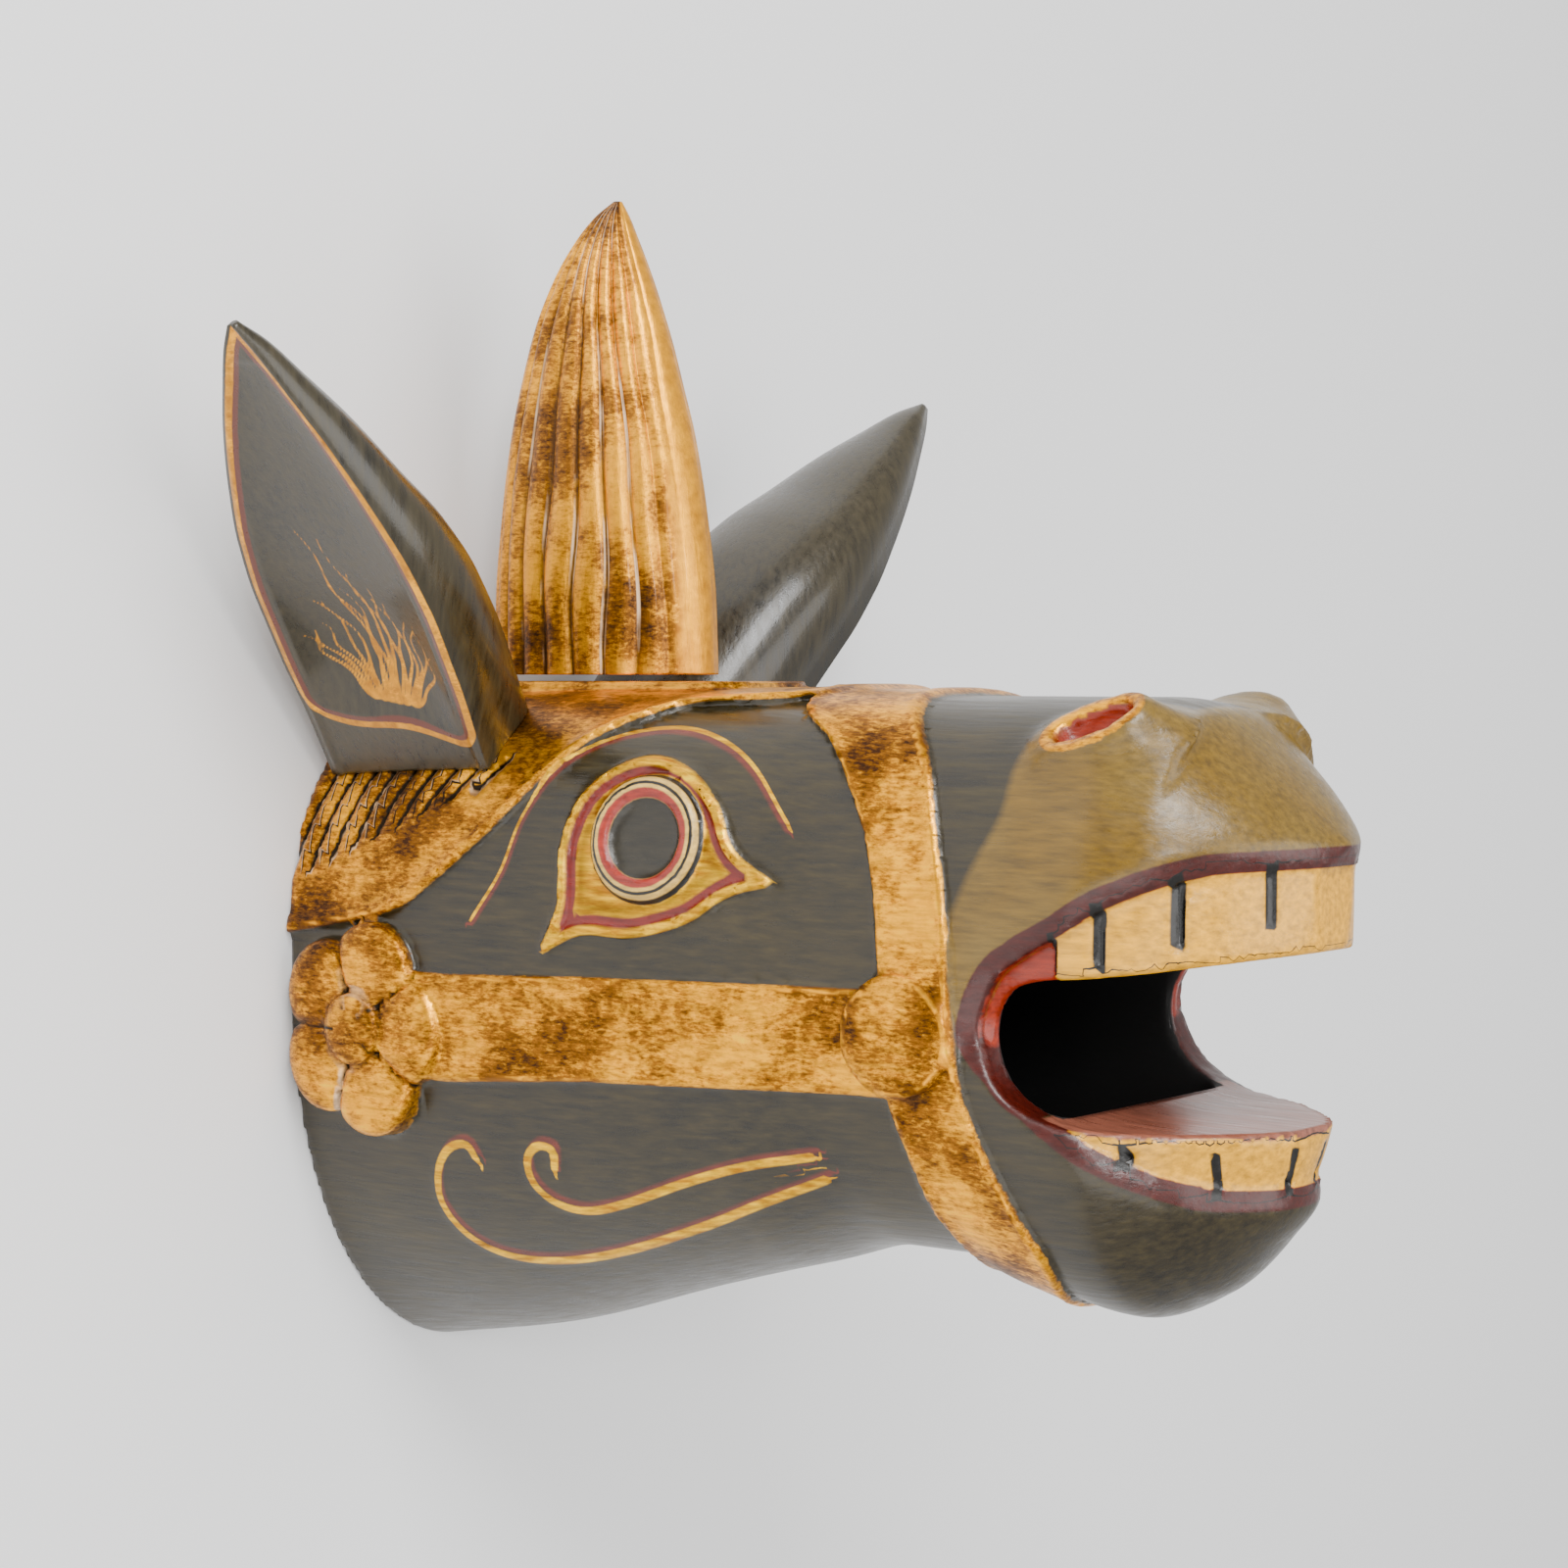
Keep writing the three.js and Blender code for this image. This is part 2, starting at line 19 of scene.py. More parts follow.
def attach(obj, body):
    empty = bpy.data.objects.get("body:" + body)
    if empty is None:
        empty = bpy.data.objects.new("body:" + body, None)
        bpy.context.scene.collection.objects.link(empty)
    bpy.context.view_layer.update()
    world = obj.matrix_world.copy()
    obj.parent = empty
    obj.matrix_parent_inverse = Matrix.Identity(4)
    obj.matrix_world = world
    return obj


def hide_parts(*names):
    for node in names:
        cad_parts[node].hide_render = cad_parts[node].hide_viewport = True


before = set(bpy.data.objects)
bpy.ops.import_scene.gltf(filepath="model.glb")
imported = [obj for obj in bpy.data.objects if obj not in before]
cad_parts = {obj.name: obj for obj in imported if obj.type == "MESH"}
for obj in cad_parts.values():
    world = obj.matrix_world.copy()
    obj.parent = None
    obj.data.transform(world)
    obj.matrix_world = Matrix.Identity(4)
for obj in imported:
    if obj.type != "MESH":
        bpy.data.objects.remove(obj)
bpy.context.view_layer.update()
MID_HEIGHT = 199.0  # height, in the horse's frame, of the row's origin


def to_row(points):
    """Row position in metres: (-y, MID_HEIGHT - z, x) / 1000."""
    points = np.asarray(points, dtype=float)
    return np.stack([-points[:, 1], MID_HEIGHT - points[:, 2], points[:, 0]], axis=1) / 1000.0


# %% [markdown]
# ## Curves and distances
#
# A carver works from the side view: the halter, the eye and the mouth are drawn on the cheek as outlines
# and then cut in. So every feature here starts as an outline or a line on the side view, and its signed
# distance, in millimetres, says both where the wood is cut and where the colour changes.


# %% Interpolation and outline distances
def monotone(xs, ys):
    """A smooth curve through (xs, ys) that never overshoots: cubic pieces with harmonic-mean slopes."""
    xs, ys = np.asarray(xs, float), np.asarray(ys, float)
    step = np.diff(xs)
    slope = np.diff(ys) / step
    tangent = np.zeros_like(ys)
    tangent[0], tangent[-1] = slope[0], slope[-1]
    before, after = slope[:-1], slope[1:]
    near, far = 2 * step[1:] + step[:-1], step[1:] + 2 * step[:-1]
    same = before * after > 0
    safe_before, safe_after = np.where(same, before, 1.0), np.where(same, after, 1.0)
    tangent[1:-1] = np.where(same, (near + far) / (near / safe_before + far / safe_after), 0.0)

    def value(x):
        x = np.clip(x, xs[0], xs[-1])
        i = np.clip(np.searchsorted(xs, x) - 1, 0, len(xs) - 2)
        t = (x - xs[i]) / step[i]
        return (ys[i] * (1 + 2 * t) * (1 - t) ** 2 + tangent[i] * step[i] * t * (1 - t) ** 2
                + ys[i + 1] * t * t * (3 - 2 * t) + tangent[i + 1] * step[i] * t * t * (t - 1))

    return value


def smooth_line(points, closed=False, per_span=6):
    """Points made smooth by Catmull-Rom: each span blends its two ends with slopes from their neighbours."""
    p = np.asarray(points, float)
    p = np.vstack([p[-1], p, p[:2]]) if closed else np.vstack([2 * p[0] - p[1], p, 2 * p[-1] - p[-2]])
    t = np.linspace(0, 1, per_span, endpoint=False)[:, None]
    spans = [0.5 * (2 * b + (c - a) * t + (2 * a - 5 * b + 4 * c - d) * t ** 2
                    + (3 * b - a - 3 * c + d) * t ** 3)
             for a, b, c, d in zip(p[:-3], p[1:-2], p[2:-1], p[3:])]
    return np.vstack(spans if closed else spans + [p[-2][None]])


def line_distance(x, z, points, signed=False):
    """Distance from (x, z) to an open line: the least distance to any of its segments.

    Signed, it is below zero on the line's right-hand side, so that a thin line stays sharp between vertices.
    """
    best = np.full(np.broadcast(x, z).shape, 1e9)
    for (ax, az), (bx, bz) in zip(points[:-1], points[1:]):
        ex, ez = bx - ax, bz - az
        t = np.clip(((x - ax) * ex + (z - az) * ez) / max(ex * ex + ez * ez, 1e-9), 0, 1)
        here = np.hypot(x - ax - t * ex, z - az - t * ez)
        if signed:
            here = np.where(ex * (z - az) - ez * (x - ax) < 0, -here, here)
        best = np.where(np.abs(here) < np.abs(best), here, best)
    return best


def nearest(distances):
    """The signed distance that is least in size."""
    best = distances[0]
    for other in distances[1:]:
        best = np.where(np.abs(other) < np.abs(best), other, best)
    return best


def outline_distance(x, z, points):
    """Signed distance from (x, z) to a closed outline: below zero inside it."""
    points = np.asarray(points, float)
    best = line_distance(x, z, np.vstack([points, points[:1]]))
    inside = np.zeros(best.shape, bool)
    for (ax, az), (bx, bz) in zip(points, np.roll(points, -1, axis=0)):
        if az != bz:
            inside ^= ((az > z) != (bz > z)) & (x < (bx - ax) * (z - az) / (bz - az) + ax)
    return np.where(inside, -best, best)


def ramp(distance, width=1.2):
    """1 well inside an outline, 0 outside, with a soft edge: 3t^2 - 2t^3 of t = 1/2 - distance / width."""
    t = np.clip(0.5 - distance / width, 0, 1)
    return t * t * (3 - 2 * t)


def ridge(distance, half_width):
    """A rounded ridge over a line: exp(-(distance / half_width)^2)."""
    return np.exp(-(distance / half_width) ** 2)


def smooth_max(a, b, radius):
    """The larger of a and b, with the crease between them rounded over radius."""
    h = np.clip(0.5 - 0.5 * (b - a) / radius, 0, 1)
    return b * (1 - h) + a * h + radius * h * (1 - h)


def smooth_min(a, b, radius):
    """The smaller of a and b, with the crease filled over radius."""
    return -smooth_max(-a, -b, radius)


print("a straight line made smooth has", len(smooth_line([[0, 0], [1, 0]])), "points")


# %% [markdown]
# ## The head's block
#
# The carver first rounds a block into the head: broad at the rim, squarish at the brow, tapering to the
# nose. Each cross-section here is a superellipse, |y / w|^n + |(z - m) / h|^n = 1, and its sizes run
# smoothly along the head.

# %% Cross-sections and skin distance
# x, half-width, height of the widest line, top, bottom, upper and lower roundness (2 is an ellipse).
SECTIONS = np.array([
    [0, 82, 128, 228, 0, 2.7, 2.0], [60, 83, 130, 230, 12, 2.9, 2.1], [127, 78, 132, 230, 33, 3.4, 2.3],
    [172, 71, 134, 230, 46, 3.4, 2.4], [215, 63, 134, 230, 57, 3.2, 2.5], [240, 61, 134, 230, 57, 3.0, 2.5],
    [262, 61, 140, 230, 51, 2.9, 2.5], [294, 62, 150, 230, 44, 2.6, 2.3], [314, 57, 158, 227, 52, 2.4, 2.2],
    [331, 46, 166, 213, 68, 2.3, 2.2], [344, 31, 174, 200, 87, 2.2, 2.2], [351, 17, 180, 192, 140, 2.1, 2.2],
    [355, 3, 184, 188, 178, 2.0, 2.0],
])
NOSE_TIP = SECTIONS[-1, 0]
WALL = 13.0
CAVITY_END = 286.0
curves = [monotone(SECTIONS[:, 0], SECTIONS[:, column]) for column in range(1, 7)]


def skin_level(x, y, z):
    """g = (|y / w|^n + |(z - m) / h|^n)^(1/n) - 1, with its slope across the section."""
    width, middle, top, bottom, upper, lower = [curve(x) for curve in curves]
    above = z > middle
    power = np.where(above, upper, lower)
    height = np.where(above, top - middle, middle - bottom)
    a = np.abs(y) / width + 1e-6
    b = np.abs(z - middle) / height + 1e-6
    radius = (a ** power + b ** power) ** (1 / power)
    slope = radius ** (1 - power) * np.hypot(a ** (power - 1) / width, b ** (power - 1) / height)
    return radius - 1, slope


def skin_distance(x, y, z):
    """Distance to the uncarved skin: g / |grad g|, below zero in the wood."""
    reach = 1.0
    level, across = skin_level(x, y, z)
    ahead = skin_level(x + reach, y, z)[0]
    behind = skin_level(x - reach, y, z)[0]
    along = (ahead - behind) / (2 * reach)
    distance = level / np.hypot(across, np.where(np.abs(level) < 0.6, along, 0.0))
    return np.maximum(distance, x - NOSE_TIP)


print("sections", len(SECTIONS), "nose tip", NOSE_TIP, "mm")

# %% [markdown]
# ## Drawing on the side view
#
# The halter is a noseband and a cheek strap in low relief, with bright beaded edges. The gilded crest
# behind the brow carries the cut mane and ends in a rolled border. The eye is an almond with a raised rim
# round a ringed eyeball, and two scrolls curl along the jaw.

# %% Outlines of the halter, crest, eye and mouth
NOSEBAND = np.vstack([
    smooth_line([[186, 262], [184, 240], [186, 228], [206, 216], [222, 195], [229, 175], [232, 150],
                 [234, 115], [240, 92], [243, 76], [247, 62], [247, 30]]),
    smooth_line([[268, 30], [280, 60], [276, 76], [268, 96], [261, 116], [257, 148],
                 [256, 165], [251, 187], [242, 210], [227, 227], [214, 240], [212, 262]]),
])
CHEEK_STRAP = [[60, 105], [75, 105], [130, 109], [225, 111], [240, 111], [240, 143], [225, 143], [130, 142],
               [75, 140], [60, 140]]
CREST_LINE = smooth_line([[-10, 148], [20, 153], [49, 159], [66, 168], [89, 186], [105, 202], [118, 215],
                          [132, 223], [147, 228], [190, 233], [200, 262]])
CREST = np.vstack([CREST_LINE, [[-10, 262]]])
ALMOND = np.vstack([
    smooth_line([[111, 147], [119, 164], [119, 185], [126, 202], [142, 211], [160, 208], [174, 197],
                 [182, 183], [197, 173]]),
    smooth_line([[197, 173], [181, 169], [166, 160], [147, 155], [128, 155], [111, 147]])[1:-1],
])
BROW = smooth_line([[84, 158], [95, 174], [101, 192], [111, 208], [127, 217], [148, 220], [168, 216],
                    [184, 207], [199, 190]])
SCROLLS = [
    smooth_line([[80, 79], [77, 84], [69, 82], [62, 74], [59, 62], [65, 51], [78, 45], [98, 45], [124, 51],
                 [158, 63], [182, 73], [207, 83]]),
    smooth_line([[111, 79], [112, 85], [106, 86], [101, 81], [101, 73], [107, 67], [118, 65], [134, 69],
                 [158, 78], [180, 85], [204, 90]]),
]
UPPER_LIP = [[270, 147], [280, 155], [293, 162], [307, 170.5], [327, 178.5], [345, 181], [420, 184]]
LOWER_LIP = [[420, 86], [338, 88], [322, 91], [306, 98], [293, 106], [278, 118]]
GUMS = smooth_line(LOWER_LIP + [[265, 131]] + UPPER_LIP)
MOUTH_GAP = smooth_line([[420, 105], [335, 105], [296, 106], [279, 111], [270, 119], [266.5, 131],
                         [270, 142], [280, 147.5], [310, 151], [350, 157], [420, 167]])
MUZZLE = smooth_line([[288, 236], [279, 226], [272, 212], [271, 196], [262, 178], [256, 163], [254, 148],
                      [258, 134], [268, 131]])
MUZZLE = np.vstack([MUZZLE, [[420, 131], [420, 262], [288, 262]]])
MANE_GROOVES = [[[12 + 9.6 * k, 214 - 0.6 * k], [5 + 9.6 * k - 0.3 * k, 190 + 1.1 * k],
                 [-1 + 9.9 * k, 168 + 4 * k]] for k in range(9)]

BOSS = dict(x=240.0, z=130.0, radius=18.5, face=66.8, lean=0.09, crown=1.4)
FLOWER = dict(x=37.0, z=120.0, reach=18.0, petal=18.3, heart=12.0, face=89.6, turn=0.63, petals=5)
EYE = dict(at=(150.0, -69.0, 185.0), radius=20.5, lean=0.16, lean_up=0.2)
EYE_PROFILE = monotone([0, 9, 12, 14.6, 16.2, 17.4, 18.6, 20.5], [3.6, 3.9, 4.7, 7.2, 6.6, 7.0, 6.2, 3.2])
NOSTRIL = dict(at=(294.0, -43.0, 223.5), out=(-0.22, -0.6, 0.77), along=(0.94, 0.14, 0.3), stretch=1.5)


def frame_of(out, along):
    """Unit vectors (along, across, out) of a feature that faces out."""
    out = np.asarray(out, float) / np.linalg.norm(out)
    along = np.asarray(along, float) - out * np.dot(along, out)
    along /= np.linalg.norm(along)
    return along, np.cross(out, along), out


def local(x, y, z, at, axes):
    """Coordinates of the right-hand half's points in a feature's own frame."""
    dx, dy, dz = x - at[0], -np.abs(y) - at[1], z - at[2]
    return [dx * a[0] + dy * a[1] + dz * a[2] for a in axes]


EYE_AXES = frame_of((math.sin(EYE["lean"]), -math.cos(EYE["lean"]), math.sin(EYE["lean_up"])), (1, 0, 0))
NOSTRIL_AXES = frame_of(NOSTRIL["out"], NOSTRIL["along"])


ROW_TURN = 320.0  # where the row of teeth leaves the cheek and turns round the front
ROW_QUARTER = 54.0  # its length from there to the middle of the front


def tooth_row(x, y):
    """Place along the row of teeth: x on the cheek side, then the angle round the front, in mm of the row."""
    turn = np.arctan2(np.maximum(x - ROW_TURN, 0), np.abs(y) * 0.75 + 1e-6)
    return np.where(x < ROW_TURN, x, ROW_TURN + ROW_QUARTER * turn / (math.pi / 2))


# Start and end along the row, root and edge height. The last tooth of each row crosses the middle, at 374.
UPPER_TEETH = [(289, 307.5, 156, 147), (308.5, 331.5, 161, 150),
               (332.5, 363.5, 165.5, 153), (364.5, 383.5, 166.5, 156)]
LOWER_TEETH = [(290, 303.7, 101, 107), (304.7, 323.7, 98.5, 107),
               (324.7, 350, 98, 107), (351, 397, 98, 107)]
TOOTH_SHOULDER = 9.0  # the tallest round part of a tooth


def teeth_distance(x, y, z):
    """Signed distance to the nearest tooth outline: a straight-sided shape with a round arch at the root."""
    place = tooth_row(x, y)
    best = np.full(np.broadcast(place, z).shape, 1e9)
    for start, end, root, edge in UPPER_TEETH + LOWER_TEETH:
        way = 1 if root > edge else -1
        middle, half = (start + end) / 2, (end - start) / 2 - 0.2
        shoulder = root - way * min(half, TOOTH_SHOULDER)
        rise = (z - shoulder) * way
        arch_height = abs(root - shoulder)
        across = np.abs(place - middle)
        round_part = (np.hypot(across / half, np.maximum(rise, 0) / arch_height) - 1) * min(half, arch_height)
        side_part = across - half
        best = np.minimum(best, np.where(rise > 0, round_part, side_part))
    return best


print("outline points", len(NOSEBAND) + len(CREST) + len(ALMOND) + len(GUMS))

# %% [markdown]
# ## Carving
#
# All of the carving is one number per point of space: the distance to the finished surface, below zero
# inside the wood. Raised straps add to the skin's height, and the mouth, nostrils and hollow are cut
# away. A fine net is then laid on the surface where the number is zero, as the carver's last smoothing
# does with the block.


# %% Relief heights on the cheek
def flower_petals(x, z):
    """Signed distance to the petals, to the gaps between them, and the distance from the flower's middle."""
    dx, dz = x - FLOWER["x"], z - FLOWER["z"]
    away = np.hypot(dx, dz)
    petals = np.full(away.shape, 1e9)
    gaps = np.full(away.shape, 1e9)
    for k in range(FLOWER["petals"]):
        middle = FLOWER["turn"] + math.pi * (2 * k + 1) / FLOWER["petals"]
        px, pz = FLOWER["reach"] * math.cos(middle), FLOWER["reach"] * math.sin(middle)
        petals = np.minimum(petals, np.hypot(dx - px, dz - pz) - FLOWER["petal"])
        gap = FLOWER["turn"] + 2 * math.pi * k / FLOWER["petals"]
        along = dx * math.cos(gap) + dz * math.sin(gap)
        gaps = np.minimum(gaps, np.where(along > 6, np.abs(dx * math.sin(gap) - dz * math.cos(gap)), 1e9))
    return petals, gaps, away


def halter_distance(x, z):
    return np.minimum(outline_distance(x, z, NOSEBAND), outline_distance(x, z, CHEEK_STRAP))


def mane_distance(x, z):
    return np.minimum.reduce([line_distance(x, z, groove) for groove in MANE_GROOVES])


STRAP_HEIGHT = 2.2  # heights and depths of the low relief, in mm
BEAD_HEIGHT = 0.55
BORDER_HEIGHT = 1.5
MANE_DEPTH = 2.4
ALMOND_HEIGHT, ALMOND_RIM, ALMOND_CHANNEL = 0.9, 2.1, 1.0
SCROLL_HEIGHT = 0.5
LIP_DEPTH = 3.2


def relief(x, z):
    """Height of the carving over the skin, from the side view."""
    straps = halter_distance(x, z)
    crest = outline_distance(x, z, CREST)
    height = STRAP_HEIGHT * ramp(np.minimum(straps, crest))
    height = height + BEAD_HEIGHT * ridge(straps + 1.6, 1.0)
    border = line_distance(x, z, CREST_LINE)
    height = height + BORDER_HEIGHT * ridge(border - 1.5, 2.2) * ramp(crest - 1.0, 2.0)
    height = height - MANE_DEPTH * ridge(mane_distance(x, z), 1.0) * ramp(crest + 6.0, 2.0)
    almond = outline_distance(x, z, ALMOND)
    height = height + ALMOND_HEIGHT * ramp(almond) + ALMOND_RIM * ridge(almond + 1.6, 1.3)
    height = height - ALMOND_CHANNEL * ridge(almond + 5.0, 1.6)
    for scroll in SCROLLS:
        height = height + SCROLL_HEIGHT * ridge(line_distance(x, z, scroll), 1.4)
    lips = outline_distance(x, z, GUMS)
    return height - LIP_DEPTH * ridge(np.maximum(lips, 0), 4.5) * ramp(-lips, 1.0)


print("straps stand", STRAP_HEIGHT, "mm over the skin, petals", FLOWER["petals"])

# %% The whole head as a distance
SLOT = dict(x=74.0, half_length=13.4, half_width=6.4, floor=225.3)  # the forelock's slot in the plate
EYE_DEPTH = 14.0


def head_distance(x, y, z):
    """Distance to the carved head: skin and relief, joined with features and cut by the hollows."""
    skin = skin_distance(x, y, z)
    body = skin - relief(x, z)
    side = np.abs(y)

    from_boss = np.hypot(x - BOSS["x"], z - BOSS["z"])
    boss_face = BOSS["face"] - BOSS["lean"] * (x - BOSS["x"])
    boss_top = side - boss_face - BOSS["crown"] * (1 - (from_boss / BOSS["radius"]) ** 2)
    boss_top = boss_top + 0.9 * ridge(from_boss - 16.2, 0.9)
    body = np.minimum(body, smooth_max(from_boss - BOSS["radius"], boss_top, 1.6))

    petals, gaps, away = flower_petals(x, z)
    petal_top = side - FLOWER["face"] + 2.4 * ridge(gaps, 1.2) + 0.03 * np.clip(petals + 9, 0, 9) ** 2
    petal_top = petal_top + 1.6 * ridge(away - FLOWER["heart"] - 0.8, 1.2)
    bloom = smooth_max(petals, petal_top, 1.8)
    heart = smooth_max(away - FLOWER["heart"], side - FLOWER["face"] - 2.6 + 0.008 * away ** 2, 1.6)
    body = np.minimum(body, np.maximum(np.minimum(bloom, heart), 60.0 - side))

    ex, ey, up = local(x, y, z, EYE["at"], EYE_AXES)
    ring = np.hypot(ex, ey)
    ball = smooth_max(ring - EYE["radius"], up - EYE_PROFILE(ring), 1.0)
    body = np.minimum(body, np.maximum(ball, -up - EYE_DEPTH))

    na, nb, nc = local(x, y, z, NOSTRIL["at"], NOSTRIL_AXES)
    mound = np.hypot(na / NOSTRIL["stretch"], nb)
    mound = np.maximum(smooth_max(mound - 11.5 + 0.4 * nc, nc + 0.2, 1.5), -nc - 16.0)
    body = smooth_min(body, mound, 7.0)
    bowl = (np.sqrt((na / 13.5) ** 2 + (nb / 6.6) ** 2 + (nc / 10.0) ** 2) - 1) * 6.6

    plate_end = np.hypot(np.maximum(x - 129, 0), np.maximum(side - 10, 0)) - 16
    plate = smooth_max(np.maximum(22.0 - x, side - 26.0), plate_end, 1.0)
    plate = smooth_max(plate, np.maximum(z - 234.5, 222.0 - z), 1.2)
    body = np.minimum(body, plate)

    gap = outline_distance(x, z, MOUTH_GAP)
    gums = outline_distance(x, z, GUMS)
    teeth = smooth_max(teeth_distance(x, y, z), skin + 5.2, 2.2)
    recess = smooth_max(gums, -(skin + 8.0), 1.6)
    body = smooth_max(body, -recess, 1.2)
    body = np.minimum(body, teeth)
    body = smooth_max(body, -gap, 1.6)

    body = smooth_max(body, -bowl, 1.2)
    slot = np.maximum(np.abs(x - SLOT["x"]) - SLOT["half_length"], side - SLOT["half_width"])
    slot = np.maximum(slot, SLOT["floor"] - z)
    hollow = smooth_max(skin + WALL, x - CAVITY_END, 8.0)
    body = smooth_max(body, -hollow, 2.0)
    body = np.maximum(body, -slot)
    return smooth_max(body, -x, 0.8)


print("the nose tip lies", float(head_distance(NOSE_TIP, 0.0, 184.0)), "mm from the carved surface")

# %% A net over the surface
def surface_net(values, corner, step):
    """A net of quads where the values pass zero.

    Each grid cell that the surface crosses has one vertex, at the mean of its crossings. Each grid edge that
    it crosses has one quad.
    """
    cells = tuple(n - 1 for n in values.shape)
    size = int(np.prod(cells))
    count = np.zeros(size)
    total = np.zeros((3, size))
    loops = []
    for axis in range(3):
        first = np.take(values, range(values.shape[axis] - 1), axis)
        second = np.take(values, range(1, values.shape[axis]), axis)
        crossing = (first < 0) != (second < 0)
        index = np.argwhere(crossing)
        share = (first / (first - second + 1e-12))[crossing]
        point = index.astype(float)
        point[:, axis] += share
        across, over = (axis + 1) % 3, (axis + 2) % 3
        loop = []
        for a, b in ((0, 0), (-1, 0), (-1, -1), (0, -1)):
            cell = index.copy()
            cell[:, across] += a
            cell[:, over] += b
            flat = np.ravel_multi_index(cell.T, cells)
            loop.append(flat)
            count += np.bincount(flat, minlength=size)
            for k in range(3):
                total[k] += np.bincount(flat, weights=point[:, k], minlength=size)
        loop = np.stack(loop, 1)
        outward = (first < 0)[crossing]
        loops.append(np.where(outward[:, None], loop, loop[:, ::-1]))
    used = np.flatnonzero(count)
    number = np.full(size, -1)
    number[used] = np.arange(len(used))
    vertices = (total[:, used] / count[used]).T * step + corner
    return vertices, number[np.vstack(loops)]


def settle(vertices, distance, rounds=2, reach=0.25, most=0.8):
    """Moves each vertex onto the surface: p - d * grad d / |grad d|^2, a little at a time."""
    for _ in range(rounds):
        x, y, z = vertices.T
        here = distance(x, y, z)
        grad = np.stack([distance(x + reach, y, z) - distance(x - reach, y, z),
                         distance(x, y + reach, z) - distance(x, y - reach, z),
                         distance(x, y, z + reach) - distance(x, y, z - reach)], 1) / (2 * reach)
        move = -(here / np.maximum((grad ** 2).sum(1), 0.25))[:, None] * grad
        length = np.linalg.norm(move, axis=1, keepdims=True)
        vertices = vertices + move * np.minimum(1, most / np.maximum(length, 1e-9))
    return vertices


NET_STEP = 2.25
grid_low = np.array([-4.1, -99.0, -5.0])
grid_high = np.array([363.0, 98.0, 246.0])
axes = [np.arange(lo, hi, NET_STEP) for lo, hi in zip(grid_low, grid_high)]
gx, gy, gz = axes[0][:, None, None], axes[1][None, :, None], axes[2][None, None, :]
head_values = head_distance(gx, gy, gz)
head_points, head_quads = surface_net(head_values, grid_low, NET_STEP)
head_points = settle(head_points, head_distance)
head_points[:, 0] = np.maximum(head_points[:, 0], 0.0)
print("head net", head_points.shape, head_quads.shape, "triangles", 2 * len(head_quads))


# %% [markdown]
# ## Paint and gold on the head
#
# The head is primed, lacquered dark, gilded on the raised work, and then painted with a fine brush. Each
# colour is stored on the vertices as a signed distance to its edge, so that the material can draw the
# edge sharp between vertices. Later colours cover earlier ones, in the painter's order.


# %% Where each colour lies on the head
FAR_OFF = 9.0  # a paint distance, in mm, well clear of any colour
PAINT_REACH = 90.0  # the largest paint distance kept, in mm


